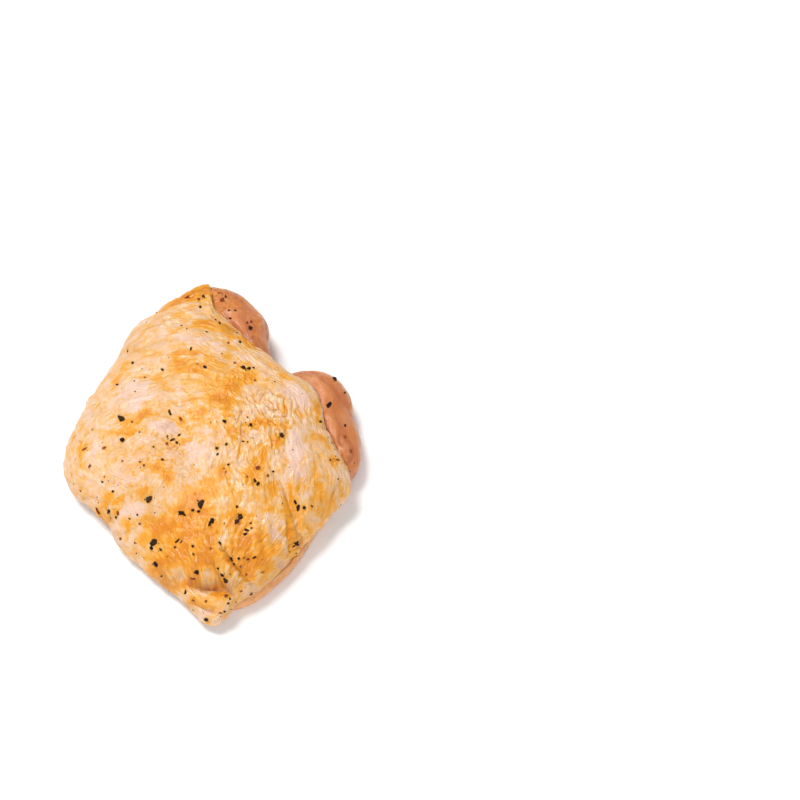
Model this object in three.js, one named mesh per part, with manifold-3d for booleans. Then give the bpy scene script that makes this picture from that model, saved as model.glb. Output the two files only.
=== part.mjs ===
// Marinated chicken steak: one boneless thigh, skin side up, lying flat.
// Two solids: the meat, and the skin that is draped over it and hangs down at the left and the front.
// Millimetres, +Z up. X runs to the right and Y away from the viewer.
// The origin is at the middle of the base.
import * as THREE from 'three';
import { mergeVertices } from 'three/addons/utils/BufferGeometryUtils.js';
import Module from 'manifold-3d';

const wasm = await Module();
wasm.setup();

// Driving sizes
const SKIN_THICKNESS = 2;
const SKIN_GAP = 0.4;           // between the skin and the meat below it
const CROWN_HEIGHT = 21.5;      // the skin's broad level, before the swells below
const EDGE_POWER = 3.4;         // how late the skin turns down to its rim
const REST_PRESS = 0.8;         // how much of the meat's underside is pressed flat on the table
const LINING_SPREAD = 1.4;      // how much wider the grooves are in the skin's lining
const LINING_RIDGES = 0.4;      // how much of a ridge shows in the lining
const LINING_DRAW = 4;          // how close to the rim the lining draws in by its full depth
const TOWER_TOP = 60;           // a height that clears the whole piece, for cutting only
const TOWER_FLARE = 1.2;        // how much wider that cutting tower is at its top
const UNDERSIDE_SAG = 2;        // how far the underside of the uncut skin dips from rim to middle
const MIDDLE = { x: 1.36, y: 1.78 };   // middle of the finished piece in the working plan

// Fineness of the nets: rings from the middle to the rim
const SKIN_RINGS = 35;
const LINING_RINGS = 15;
const MEAT_RINGS = 14;
const NET_TURN = 0.11;          // share of the way round that the nets' seams are turned
const FRONT_FINENESS = 0.42;    // how much closer together the spokes are at the front, where the folds lie
const FRONT_AT = 0.74;          // share of the way round where they are closest
const RING_CROWDING = 0.25;     // how much closer together the rings lie towards the rim
const CURVE_STEPS = 1200;       // steps by which an outline's length is measured
const WELD = 1e-4;              // vertices closer than this are one

// The skin's rim, anticlockwise from the right: plan place and height above the table
const SKIN_RIM = [
  [44, 8, 15], [42, 19, 16], [38, 26, 16], [29, 32, 17], [21.5, 39.5, 18], [14.5, 46, 18], [8.5, 53, 18],
  [3.8, 57.8, 18.5], [0.8, 61.2, 18.5], [-0.8, 66.3, 18], [-1.4, 71.5, 17.5], [-3.4, 76, 17.2],
  [-8.3, 75, 16.2], [-15, 70.6, 14.5], [-21, 67, 12.5], [-26.5, 63.5, 10.5], [-32, 59.2, 9], [-35.4, 52.3, 8],
  [-38.8, 43, 6],
  [-44, 33, 5], [-48, 25, 4], [-51, 16, 4], [-54, 6, 4], [-55, -4, 4], [-53, -12, 4], [-48.3, -19, 4],
  [-41.4, -25.1, 5], [-36.5, -29.6, 4], [-33.7, -37, 4], [-29, -43, 3], [-22, -49.3, 3], [-14.4, -56.5, 3],
  [-7.4, -62.3, 3], [-2.8, -68.6, 3], [1, -72.6, 3], [5.5, -74.2, 3], [9.5, -72, 4], [12, -67.6, 5],
  [16, -64.5, 6], [21, -61, 6.5], [28, -54, 6.5], [35, -45, 6.5], [40.5, -38, 6.5], [47, -29, 7],
  [53, -21, 8], [54, -14, 10], [51.5, -7, 12], [47.5, 0, 14],
];

// Swells and hollows of the skin's top: plan place, reach in X and Y, height
const SWELLS = [
  { at: [9, 2], reach: [36, 46], height: 6 },
  { at: [31, -12], reach: [14, 22], height: 1.6 },
  { at: [-31, -8], reach: [16, 20], height: -1.4 },
  { at: [-11, 0], reach: [8, 7], height: -2 },
  { at: [-14, 50], reach: [16, 16], height: 1.5 },
  { at: [16, 24], reach: [9, 14], height: -0.9 },
  { at: [-2, -27], reach: [14, 9], height: 0.8 },
  { at: [4, -68], reach: [9, 9], height: -8 },
];

// Creases (negative) and raised folds (positive): the line that each follows, half its width, and its height
const FOLDS = [
  { name: 'front valley', line: [[-19, -54], [-9, -59], [2, -61.5], [12, -62]], width: 3.2, height: -5.5 },
  { name: 'front roll', line: [[-11, -62], [-1, -65.5], [8, -66.5], [13, -66]], width: 2.8, height: 1.8 },
  { name: 'finger fold', line: [[5, -51], [9.5, -57], [14, -61], [19, -63.5]], width: 2.7, height: 3 },
  { name: 'right crease', line: [[29, -24], [32, -32], [35, -40], [36, -46]], width: 3, height: -2.8 },
  { name: 'right fold', line: [[35, -25], [38.5, -33], [41, -39]], width: 3, height: 1.2 },
  { name: 'left notch', line: [[-46, -25], [-41, -28.5], [-36, -31], [-33, -32]], width: 2.4, height: -2.4 },
  { name: 'back crease', line: [[-3, 56], [5, 53], [13, 46], [20, 38]], width: 3, height: -2 },
  { name: 'back roll', line: [[-1, 60], [7, 56.5], [15, 48.5], [22, 40.5]], width: 2.6, height: 1 },
  { name: 'shoulder fold', line: [[-40, 38], [-26, 36], [-12, 38]], width: 3.4, height: 0.9 },
];

// Where along its line, as a share of it, a fold rises to its full height and where it fades out again
const FOLD_RISE = [-0.15, 0.25];
const FOLD_FADE = [0.8, 1.2];

// Long low waves of the skin's top: the way that each runs in plan, its length and its height
const WAVES = [
  { way: [0.94, 0.34], length: 27, height: 0.35 },
  { way: [-0.42, 0.91], length: 19, height: 0.3 },
  { way: [0.71, -0.7], length: 15, height: 0.2 },
];
const WAVE_SWAY = { reach: 3, length: 12 };    // how far the waves' crests wander, and over what length

// The meat below the skin: plan outline at its widest, and the height of that
const MEAT_RIM = [
  [41, 8, 7], [38, 18, 8], [32, 24, 8], [24, 29, 9], [16, 38, 9], [10, 48, 9], [3, 58, 9], [-2.5, 67, 9],
  [-12, 68.5, 9], [-24, 61.5, 8], [-33, 52, 7], [-40, 37, 6], [-47, 24, 6], [-52, 6, 6], [-51.5, -8, 6],
  [-46, -16, 6], [-38, -22, 6], [-33, -32, 6], [-26, -42, 5], [-14, -52, 5], [-6, -59, 5], [0, -67, 5],
  [5.5, -69.5, 5], [11, -65, 4], [16, -60, 4], [23, -53, 4], [30, -44, 4], [36, -34, 5], [42, -25, 6],
  [45, -16, 6], [44, -8, 7],
];
const MEAT_TOP = 40;            // the skin's lining cuts the meat's top, so this only has to clear it
const MEAT_EDGE_POWER = 5;      // how late the meat's top and underside turn to its rim

// Shallow seams between the muscles of the underside
const UNDER_SEAMS = [
  { line: [[-20, 48], [-9, 20], [-5, -14], [-9, -44]], width: 5, height: 2.4 },
  { line: [[12, 40], [23, 15], [26, -12], [21, -38]], width: 4, height: 1.7 },
];

const FLAT_BELOW = 0.15;        // a seam shallower than this is pressed flat

// The thick edge of meat that shows past the skin from the front, round the right, to the back:
// plan place and height of its core, and how far it bulges sideways and upwards from there
const EDGE_ROLL = [
  [5, -62, 3, 3, 3], [12, -60, 4, 6, 4], [20, -54.5, 4.5, 6.5, 4.5], [28, -46, 5, 6.5, 5],
  [34, -37, 5.5, 5.5, 5.5], [39, -27, 6, 5.5, 6], [43, -16, 7, 7, 7], [46, -5, 8, 11.5, 8],
  [44, 6, 8.5, 13, 8.5], [42, 16, 8.5, 13, 8.5], [40, 25, 8.5, 12.5, 8.5], [34, 29, 8.5, 8, 8.5],
  [26, 30, 9, 5.5, 8], [18, 38, 9.5, 6, 9], [12.5, 48, 10, 9.5, 9.5], [9.5, 56.5, 10.5, 11.5, 9.5],
  [4.5, 65, 10.5, 10.2, 9], [-2, 70, 10, 8, 8.5], [-8, 69.5, 9, 6.5, 7.5],
];

// Seams between the muscles of that edge: place along it, half its width and how deep it bites,
// all as shares of the edge's own length and size
const SEAMS = [
  { along: 0.37, width: 0.012, bite: 0.1 },
  { along: 0.5, width: 0.014, bite: 0.1 },
  { along: 0.655, width: 0.02, bite: 0.08 },
  { along: 0.86, width: 0.014, bite: 0.11 },
];
const ROLL_STEPS = 44;
const ROLL_SIDES = 12;
const ROLL_END = 0.05;          // share of the edge's length over which each end rounds off
const ROLL_WOBBLE = { share: 0.02, around: 3, along: 40 };    // slight unevenness of the edge

// Cracked peppercorns stuck in the skin. The largest lie where they are listed: plan place and radius.
const LARGE_PEPPER = [
  [0.2, -34.3, 1.9], [14, -39, 1.8], [35.5, -31, 1.8], [-32.5, 7.5, 1.8], [-17, -45.3, 1.6],
  [13.4, 28.4, 1.6], [-19.3, -30, 1.4], [4.2, -40.5, 1.3], [-16.3, -51.3, 1.4], [20, -25, 1.3],
  [16.7, -43.8, 1.2], [12, -54, 1.3], [-6.7, -36.8, 1.2], [-13.8, 7.5, 1.2], [-3, 68.5, 1.2],
  [3.5, -70.5, 1.1],
];
// The rest are smaller and spread over the whole skin, clear of each other
const SMALL_PEPPER = { tries: 34, radius: [0.95, 0.75], spread: 0.9, clear: 7, seed: 20 };
const PEPPER_SUNK = 0.25;       // share of its radius that a peppercorn's middle lies below the skin's face
const PEPPER_SHAPE = [[1, 1.3], [0.8, 1], [0.7, 0.95]];    // least and most of its three sizes by its radius
const BEARING_STEPS = 1440;     // steps round the rim in which a place's bearing is looked for

const smoothstep = (low, high, value) => THREE.MathUtils.smoothstep(value, low, high);

// A curve through an outline's points, closed on itself
function outlineCurve(points) {
  const knots = points.map(([x, y, z]) => new THREE.Vector3(x, y, z));
  return new THREE.CatmullRomCurve3(knots, true, 'catmullrom', 0.5);
}

const skinRim = outlineCurve(SKIN_RIM);
const meatRim = outlineCurve(MEAT_RIM);
for (const curve of [skinRim, meatRim]) {
  curve.arcLengthDivisions = CURVE_STEPS;
}

// How far a plan point lies from a line of points, and how far along the line its nearest point is, 0 to 1
function nearestOnLine(x, y, line) {
  let nearest = { distance: Infinity, along: 0 };
  const spans = line.length - 1;
  for (let i = 0; i < spans; i += 1) {
    const [ax, ay] = line[i];
    const [bx, by] = line[i + 1];
    const [dx, dy] = [bx - ax, by - ay];
    const share = THREE.MathUtils.clamp(((x - ax) * dx + (y - ay) * dy) / (dx * dx + dy * dy), 0, 1);
    const distance = Math.hypot(x - ax - share * dx, y - ay - share * dy);
    if (distance < nearest.distance) {
      nearest = { distance, along: (i + share) / spans };
    }
  }
  return nearest;
}

// Height of one fold at a plan point: a soft ridge or groove that fades out at both ends of its line.
// The lining's grooves are wider and its ridges lower, which leaves the skin thicker where it is gathered.
function foldHeight(x, y, fold, lining = false) {
  const { distance, along } = nearestOnLine(x, y, fold.line);
  const fade = smoothstep(...FOLD_RISE, along) * (1 - smoothstep(...FOLD_FADE, along));
  const width = lining ? fold.width + LINING_SPREAD : fold.width;
  const height = lining && fold.height > 0 ? fold.height * LINING_RIDGES : fold.height;
  return height * fade * Math.exp(-((distance / width) ** 2));
}

// The skin's top before it turns down to its rim
function topHeight(x, y, lining) {
  let height = CROWN_HEIGHT;
  for (const swell of SWELLS) {
    const across = (x - swell.at[0]) / swell.reach[0];
    const along = (y - swell.at[1]) / swell.reach[1];
    height += swell.height * Math.exp(-(across ** 2 + along ** 2));
  }
  for (const fold of FOLDS) {
    height += foldHeight(x, y, fold, lining);
  }
  for (const wave of WAVES) {
    const run = wave.way[0] * x + wave.way[1] * y;
    const sway = wave.way[1] * x - wave.way[0] * y;
    const wander = WAVE_SWAY.reach * Math.sin(sway / WAVE_SWAY.length);
    height += wave.height * Math.sin((2 * Math.PI * (run + wander)) / wave.length);
  }
  return height;
}

// A share of the way round, moved so that even steps come out closer together at the front
function closerAtFront(round) {
  const turn = 2 * Math.PI;
  const moved = round - (FRONT_FINENESS / turn) * Math.sin(turn * (round - FRONT_AT));
  return ((moved % 1) + 1) % 1;
}

// A ball of triangles whose vertices lie in even rings, as an index and a list of places on the ball:
// share of the way round, share of the way from pole to equator, and which half
function ringNet(rings) {
  const ball = new THREE.OctahedronGeometry(1, rings - 1);
  ball.deleteAttribute('normal');
  ball.deleteAttribute('uv');
  const merged = mergeVertices(ball, WELD);
  const position = merged.getAttribute('position');
  const places = [];
  for (let i = 0; i < position.count; i += 1) {
    const [x, y, z] = [position.getX(i), position.getY(i), position.getZ(i)];
    const flat = Math.abs(x) + Math.abs(y);
    const out = flat / (flat + Math.abs(z));
    const quarter = flat < 1e-6 ? 0 : Math.abs(y) / flat;
    let round = x >= 0 ? quarter : 2 - quarter;
    if (y < 0) {
      round = 4 - round;
    }
    places.push({ round: closerAtFront(round / 4 + NET_TURN), out, upper: z >= 0 });
  }
  return { index: merged.index.array, places };
}

// A manifold solid from a net, with each vertex put where the rule says
function solidFromNet(rings, rule) {
  const { index, places } = ringNet(rings);
  const vertProperties = new Float32Array(places.length * 3);
  places.forEach((place, i) => vertProperties.set(rule(place), i * 3));
  return new wasm.Manifold(new wasm.Mesh({ numProp: 3, vertProperties, triVerts: new Uint32Array(index) }));
}

// How far out a ring lies as a share of the reach to the rim, and the way back from that share to the ring
const ringShare = (out) => out * (1 + RING_CROWDING * (1 - out));
const ringOf = (share) => {
  const spread = 1 + RING_CROWDING;
  return (spread - Math.sqrt(spread ** 2 - 4 * RING_CROWDING * share)) / (2 * RING_CROWDING);
};

// A point of the skin's rim, drawn in square to the rim by a given depth, or let out if that is negative
function rimPoint(round, depth) {
  const along = skinRim.getTangentAt(round).setZ(0).normalize();
  return skinRim.getPointAt(round).add(new THREE.Vector3(-along.y, along.x, 0).multiplyScalar(depth));
}

// A point of the skin's outer face, or of a lining a given depth inside it
function skinPoint(round, out, depth = 0) {
  const share = ringShare(out);
  const rim = rimPoint(round, depth * share ** LINING_DRAW);
  const [x, y] = [rim.x * share, rim.y * share];
  const roll = Math.sqrt(Math.max(0, 1 - share ** EDGE_POWER));
  const height = Math.max(topHeight(x, y, depth > 0) - depth, rim.z);
  return [x, y, rim.z + (height - rim.z) * roll];
}

// Everything under the skin's outer face, down to its rim
function skinOuter() {
  return solidFromNet(SKIN_RINGS, ({ round, out, upper }) => {
    if (upper) {
      return skinPoint(round, out);
    }
    const rim = skinRim.getPointAt(round);
    const share = ringShare(out);
    return [rim.x * share, rim.y * share, rim.z - UNDERSIDE_SAG * (1 - out)];
  });
}

// Everything under a face inside the skin, and on down past the table
function skinLining(depth) {
  return solidFromNet(LINING_RINGS, ({ round, out, upper }) => {
    const [x, y, z] = skinPoint(round, out, depth);
    return upper ? [x, y, z] : [x, y, -TOWER_TOP];
  });
}

// A tower on the skin's plan, from just under its rim to above the piece, a little wider at its top
function skinTower(grow) {
  return solidFromNet(SKIN_RINGS, ({ round, out, upper }) => {
    const rim = rimPoint(round, upper && out < 1 ? -grow - TOWER_FLARE : -grow);
    const share = ringShare(Math.min(1, (out * SKIN_RINGS) / (SKIN_RINGS - 1)));
    const under = rim.z - grow - UNDERSIDE_SAG * (1 - out);
    return [rim.x * share, rim.y * share, upper && out < 1 ? TOWER_TOP : under];
  });
}

// The slab of meat that fills the space under the skin, its underside pressed flat
function meatSlab() {
  return solidFromNet(MEAT_RINGS, ({ round, out, upper }) => {
    const rim = meatRim.getPointAt(round);
    const share = ringShare(out);
    const [x, y] = [rim.x * share, rim.y * share];
    const roll = Math.sqrt(Math.max(0, 1 - share ** MEAT_EDGE_POWER));
    const top = rim.z + (MEAT_TOP - rim.z) * roll;
    const under = Math.max(0, rim.z - (rim.z + REST_PRESS) * roll);
    const seams = UNDER_SEAMS.reduce((sum, seam) => sum + foldHeight(x, y, seam), 0);
    return [x, y, upper ? top : under + Math.max(0, seams - FLAT_BELOW)];
  });
}

// The thick edge of meat: a bulging roll along its core, with the seams pinched in and its base flat
function edgeRoll() {
  const ball = new THREE.SphereGeometry(1, ROLL_SIDES, ROLL_STEPS);
  ball.deleteAttribute('normal');
  ball.deleteAttribute('uv');
  const merged = mergeVertices(ball, WELD);
  const position = merged.getAttribute('position');
  const core = new THREE.CatmullRomCurve3(EDGE_ROLL.map(([x, y, z]) => new THREE.Vector3(x, y, z)));
  const sizes = EDGE_ROLL.map(([, , , side, up]) => new THREE.Vector3(side, up, 0));
  const bulge = new THREE.CatmullRomCurve3(sizes);
  const vertProperties = new Float32Array(position.count * 3);
  for (let i = 0; i < position.count; i += 1) {
    const place = new THREE.Vector3().fromBufferAttribute(position, i);
    const along = Math.acos(THREE.MathUtils.clamp(place.y, -1, 1)) / Math.PI;
    const around = Math.atan2(place.z, place.x);
    const fromEnd = Math.min(1, along / ROLL_END, (1 - along) / ROLL_END);
    let size = Math.sqrt(1 - (1 - fromEnd) ** 2);
    for (const seam of SEAMS) {
      size *= 1 - seam.bite * Math.exp(-(((along - seam.along) / seam.width) ** 2));
    }
    size *= 1 + ROLL_WOBBLE.share * Math.sin(ROLL_WOBBLE.around * around + ROLL_WOBBLE.along * along);
    const way = core.getTangent(along).setZ(0).normalize();
    const reach = bulge.getPoint(along).multiplyScalar(size);
    const centre = core.getPoint(along);
    const outward = reach.x * Math.cos(around);
    vertProperties.set([
      centre.x - way.y * outward,
      centre.y + way.x * outward,
      Math.max(0, centre.z + reach.y * Math.sin(around) - REST_PRESS),
    ], i * 3);
  }
  return new wasm.Manifold(new wasm.Mesh({ numProp: 3, vertProperties, triVerts: merged.index.array }));
}

// A repeatable stream of numbers from 0 to 1
function seededDraw(seed) {
  const [factor, range] = [16807, 2147483647];
  let state = seed;
  return () => {
    state = (state * factor) % range;
    return state / range;
  };
}

// One cracked peppercorn, at a place on the skin's top
function peppercorn(place, radius, draw) {
  const grain = new THREE.IcosahedronGeometry(radius, 0);
  grain.deleteAttribute('normal');
  grain.deleteAttribute('uv');
  grain.scale(...PEPPER_SHAPE.map(([least, most]) => THREE.MathUtils.lerp(least, most, draw())));
  grain.rotateX(draw() * Math.PI).rotateZ(draw() * Math.PI);
  grain.translate(place[0], place[1], place[2] - PEPPER_SUNK * radius);
  const merged = mergeVertices(grain, WELD);
  return new wasm.Manifold(new wasm.Mesh({
    numProp: 3,
    vertProperties: merged.getAttribute('position').array,
    triVerts: new Uint32Array(merged.index.array),
  }));
}

// The point of the skin's outer face above a plan place
function skinAbove(x, y) {
  const bearing = Math.atan2(y, x);
  let best = { round: 0, off: Infinity, reach: 1 };
  for (let i = 0; i < BEARING_STEPS; i += 1) {
    const rim = skinRim.getPointAt(i / BEARING_STEPS);
    const off = Math.abs(Math.sin((Math.atan2(rim.y, rim.x) - bearing) / 2));
    if (off < best.off) {
      best = { round: i / BEARING_STEPS, off, reach: Math.hypot(rim.x, rim.y) };
    }
  }
  const share = Math.hypot(x, y) / best.reach;
  return skinPoint(best.round, ringOf(share));
}

// The large peppercorns, then the small ones in a sunflower pattern where they are clear of the others
function peppercorns() {
  const draw = seededDraw(SMALL_PEPPER.seed);
  const goldenShare = (3 - Math.sqrt(5)) / 2;
  const grains = LARGE_PEPPER.map(([x, y, radius]) => ({ place: skinAbove(x, y), radius }));
  for (let i = 0; i < SMALL_PEPPER.tries; i += 1) {
    const out = SMALL_PEPPER.spread * Math.sqrt((i + draw()) / SMALL_PEPPER.tries);
    const place = skinPoint((i * goldenShare) % 1, out);
    const radius = THREE.MathUtils.lerp(...SMALL_PEPPER.radius, draw());
    const near = (other) => Math.hypot(other.place[0] - place[0], other.place[1] - place[1]);
    if (grains.every((other) => near(other) > SMALL_PEPPER.clear)) {
      grains.push({ place, radius });
    }
  }
  return grains.map(({ place, radius }) => peppercorn(place, radius, draw));
}

function makeSkin() {
  const dressed = wasm.Manifold.union([skinOuter(), ...peppercorns()]);
  return dressed.subtract(skinLining(SKIN_THICKNESS));
}

function makeMeat() {
  const raw = meatSlab().add(edgeRoll());
  const cover = skinTower(SKIN_GAP).subtract(skinLining(SKIN_THICKNESS + SKIN_GAP));
  return raw.subtract(cover);
}

// A solid as a named mesh, moved so that the piece's middle is over the origin
function meshOf(name, solid, material) {
  const { vertProperties, triVerts } = solid.getMesh();
  const geometry = new THREE.BufferGeometry();
  geometry.setAttribute('position', new THREE.BufferAttribute(vertProperties, 3));
  geometry.setIndex(new THREE.BufferAttribute(triVerts, 1));
  geometry.translate(-MIDDLE.x, -MIDDLE.y, 0);
  geometry.computeVertexNormals();
  const mesh = new THREE.Mesh(geometry, material);
  mesh.name = name;
  return mesh;
}

const skinMaterial = new THREE.MeshStandardMaterial({ color: 0xf4c48c, roughness: 0.35, metalness: 0 });
const meatMaterial = new THREE.MeshStandardMaterial({ color: 0xd98a62, roughness: 0.3, metalness: 0 });

const steak = new THREE.Group();
steak.add(meshOf('meat', makeMeat(), meatMaterial));
steak.add(meshOf('skin', makeSkin(), skinMaterial));

export default steak;
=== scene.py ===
"""Marinated chicken steak: wrinkled skin, wet meat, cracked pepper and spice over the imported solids.

Forms are worked out in millimetres on the same plan as the solids, then written in metres.
"""
import itertools
import math
from types import SimpleNamespace

import bmesh
import bpy
import numpy as np
from bpy.props import FloatProperty, FloatVectorProperty, IntProperty, PointerProperty
from mathutils import Matrix, Vector, noise
from mathutils.bvhtree import BVHTree


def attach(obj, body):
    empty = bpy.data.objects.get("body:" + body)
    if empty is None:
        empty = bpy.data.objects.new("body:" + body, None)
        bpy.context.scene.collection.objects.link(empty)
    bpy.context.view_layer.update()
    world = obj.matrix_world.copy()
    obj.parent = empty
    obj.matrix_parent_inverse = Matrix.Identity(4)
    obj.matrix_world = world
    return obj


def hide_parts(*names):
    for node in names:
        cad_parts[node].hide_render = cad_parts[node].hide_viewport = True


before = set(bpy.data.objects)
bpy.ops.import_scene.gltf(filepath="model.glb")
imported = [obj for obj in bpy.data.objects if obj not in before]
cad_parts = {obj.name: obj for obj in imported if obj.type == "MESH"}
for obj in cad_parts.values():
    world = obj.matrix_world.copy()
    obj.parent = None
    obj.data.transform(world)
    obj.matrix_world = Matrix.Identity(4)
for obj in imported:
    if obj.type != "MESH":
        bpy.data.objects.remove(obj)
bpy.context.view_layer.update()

bl_info = {
    "name": "Marinated chicken steak",
    "version": (1, 0, 0),
    "blender": (4, 5, 0),
    "location": "3D View > Sidebar > Steak",
    "description": "Skin, meat, pepper and marinade of one boneless chicken thigh",
    "category": "Object",
}

MM = 0.001
MIDDLE = (1.36, 1.78)  # middle of the finished piece on the working plan

# Sizes and places in millimetres, on the same plan as the solids

# The skin's rim, anticlockwise from the right: plan place and height above the table
SKIN_RIM = [
    (44, 8, 15), (42, 19, 16), (38, 26, 16), (29, 32, 17), (21.5, 39.5, 18), (14.5, 46, 18), (8.5, 53, 18),
    (3.8, 57.8, 18.5), (0.8, 61.2, 18.5), (-0.8, 66.3, 18), (-1.4, 71.5, 17.5), (-3.4, 76, 17.2),
    (-8.3, 75, 16.2), (-15, 70.6, 14.5), (-21, 67, 12.5), (-26.5, 63.5, 10.5), (-32, 59.2, 9),
    (-35.4, 52.3, 8), (-38.8, 43, 6), (-44, 33, 5), (-48, 25, 4), (-51, 16, 4), (-54, 6, 4), (-55, -4, 4),
    (-53, -12, 4), (-48.3, -19, 4), (-41.4, -25.1, 5), (-36.5, -29.6, 4), (-33.7, -37, 4), (-29, -43, 3),
    (-22, -49.3, 3), (-14.4, -56.5, 3), (-7.4, -62.3, 3), (-2.8, -68.6, 3), (1, -72.6, 3), (5.5, -74.2, 3),
    (9.5, -72, 4), (12, -67.6, 5), (16, -64.5, 6), (21, -61, 6.5), (28, -54, 6.5), (35, -45, 6.5),
    (40.5, -38, 6.5), (47, -29, 7), (53, -21, 8), (54, -14, 10), (51.5, -7, 12), (47.5, 0, 14),
]
CROWN_HEIGHT = 21.5  # of the skin's top before its swells are added
SOFTENING = 0.13  # how far round, in radians, the rim's corners fade inwards
EDGE_POWER = 3.4  # how squarely the skin turns down to its rim, where 2 would be round

# Swells and hollows of the skin's top: place, reach in X and Y, height
SWELLS = [
    ((9, 2), (36, 46), 6), ((31, -12), (14, 22), 1.6), ((-31, -8), (16, 20), -1.4), ((-11, 0), (8, 7), -2),
    ((-14, 50), (16, 16), 1.5), ((16, 24), (9, 14), -0.9), ((-2, -27), (14, 9), 0.8),
    ((4, -68), (9, 9), -8),
]

# Creases (negative) and raised folds (positive): line, half its width, height, and how far its lips close in
FOLDS = [
    ([(-19, -54), (-9, -59), (2, -61.5), (12, -62)], 3.2, -5.5, 0.1),
    ([(-11, -62), (-1, -65.5), (8, -66.5), (13, -66)], 2.8, 1.8, 0),
    ([(5, -51), (9.5, -57), (14, -61), (19, -63.5)], 2.7, 3, 0),
    ([(29, -24), (32, -32), (35, -40), (36, -46)], 3, -2.8, 0.7),
    ([(35, -25), (38.5, -33), (41, -39)], 3, 1.2, 0),
    ([(-46, -25), (-41, -28.5), (-36, -31), (-33, -32)], 2.4, -2.4, 0.9),
    ([(-3, 56), (5, 53), (13, 46), (20, 38)], 3, -2, 0.5),
    ([(-1, 60), (7, 56.5), (15, 48.5), (22, 40.5)], 2.6, 1, 0),
    ([(-40, 38), (-26, 36), (-12, 38)], 3.4, 0.9, 0),
]

# Small creases and rolls between those, in the same terms
FINE_FOLDS = [
    ([(-8, -64), (-2, -66.8), (2.5, -69), (6, -70.4), (10, -71)], 1.5, -2.4, 0.5),
    ([(-4, -63), (0.5, -65.3), (6, -67.3), (11, -68.7)], 2.2, 1, 0),
    ([(3.5, -71), (4.5, -73), (5.5, -74.5)], 1.1, -1.1, 0.4),
    ([(-3, -60.3), (4, -61.7), (12, -64.5)], 1.5, -1.7, 0.4),
    ([(6.3, -51), (10.5, -56.5), (14.8, -60.2), (19, -62.8)], 1.5, 2.8, 0),
    ([(0, -69.5), (1.5, -71.5)], 2.2, 1, 0), ([(6.5, -71.8), (8, -72.8)], 1.8, 1, 0),
    ([(7, -69.5), (9.5, -71), (12, -71.5)], 1.2, -1.6, 0.5),
    ([(13, -65.5), (17, -67), (22, -65)], 1.4, -1.8, 0.5),
    ([(4.5, -55), (7.5, -59.5), (10.5, -62.6), (13.5, -65.4)], 1.5, -2.4, 0.7),
    ([(9, -50.5), (12.8, -55.5), (16.8, -59), (21.5, -61.3)], 1.4, -1.6, 0.5),
    ([(32.5, -25), (34, -31), (36.5, -39), (37.5, -44)], 1.3, -1.2, 0.4),
    ([(31.3, -35), (31.2, -41), (31.8, -47)], 1.3, -1.4, 0.5),
    ([(25.5, -37), (25.6, -44), (27.5, -51)], 1.4, -1, 0.3),
    ([(22, -38), (21.8, -44), (23, -50)], 1.3, -0.7, 0.2),
    ([(28.7, -34), (28.6, -41), (29.5, -47)], 1.3, -0.7, 0.2),
    ([(-20, -57.5), (-12, -62), (-4, -64.5)], 1.4, -1, 0.3), ([(-2, -71), (2, -73), (7, -72.5)], 2, 0.9, 0),
    ([(-47, -20), (-41, -22.5), (-35, -26)], 1.6, -1.3, 0.4),
    ([(-30, -30), (-22, -32), (-13, -32.5)], 2.2, 0.7, 0),
    ([(-12, -36), (-4, -38.5), (4, -38)], 2.4, -0.7, 0.3),
    ([(24, -22), (26, -32), (27, -42)], 1.8, -0.8, 0.2), ([(31, -45), (25, -52), (19, -57)], 2, 0.8, 0),
    ([(43, -34), (45, -26), (49, -19)], 2.2, -0.8, 0.3), ([(-8, 66), (-1, 62), (4, 57)], 1.8, -1, 0.4),
    ([(-34, 50), (-22, 50), (-10, 47), (0, 44)], 2.6, 0.6, 0),
    ([(24, 33), (33, 24), (39, 14)], 1.6, 0.8, 0), ([(20, 30), (29, 21), (35, 11)], 2, -0.7, 0.2),
    ([(-24, 9), (-16, 8), (-9, 4)], 2, -0.6, 0.2), ([(-20, -8), (-12, -9), (-5, -6)], 2, -0.8, 0.2),
    ([(5.5, 3), (4.6, -8), (4, -21)], 1.8, -0.5, 0.1), ([(20, 6), (24, -5), (25, -17)], 2, 0.6, 0),
    ([(14, 12), (13.5, 2), (14, -10), (13, -22)], 1.8, -0.4, 0.1),
    ([(29.5, 12), (30.5, 0), (29.5, -14)], 1.7, -0.8, 0.2),
    ([(-25, 17), (-12, 17.5), (2, 16.5)], 1.8, -0.5, 0.2),
    ([(-22, 35.5), (-10, 35.5), (4, 34.5)], 1.6, -0.6, 0.2),
]

# Long low waves: the way that each runs, its length and height
WAVES = [((0.94, 0.34), 27, 0.35), ((-0.42, 0.91), 19, 0.3), ((0.71, -0.7), 15, 0.2)]
WAVE_SWAY, SWAY_LENGTH = 3, 12  # how far their crests swing to the sides, and over what length

SHARP_SHARE, SHARP_WIDTH = 0.4, 0.38  # the sharp valley in a crease: share of its depth, and of its width

# The meat below the skin: outline at its widest, and the height of that
MEAT_RIM = [
    (41, 8, 7), (38, 18, 8), (32, 24, 8), (24, 29, 9), (16, 38, 9), (10, 48, 9), (3, 58, 9), (-2.5, 67, 9),
    (-12, 68.5, 9), (-24, 61.5, 8), (-33, 52, 7), (-40, 37, 6), (-47, 24, 6), (-52, 6, 6), (-51.5, -8, 6),
    (-46, -16, 6), (-38, -22, 6), (-33, -32, 6), (-26, -42, 5), (-14, -52, 5), (-6, -59, 5), (0, -67, 5),
    (5.5, -69.5, 5), (11, -65, 4), (16, -60, 4), (23, -53, 4), (30, -44, 4), (36, -34, 5), (42, -25, 6),
    (45, -16, 6), (44, -8, 7),
]
# Seams under the meat: line, half its width, depth
UNDER_SEAMS = [
    ([(-20, 48), (-9, 20), (-5, -14), (-9, -44)], 5, 2.4),
    ([(12, 40), (23, 15), (26, -12), (21, -38)], 4, 1.7),
]

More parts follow.
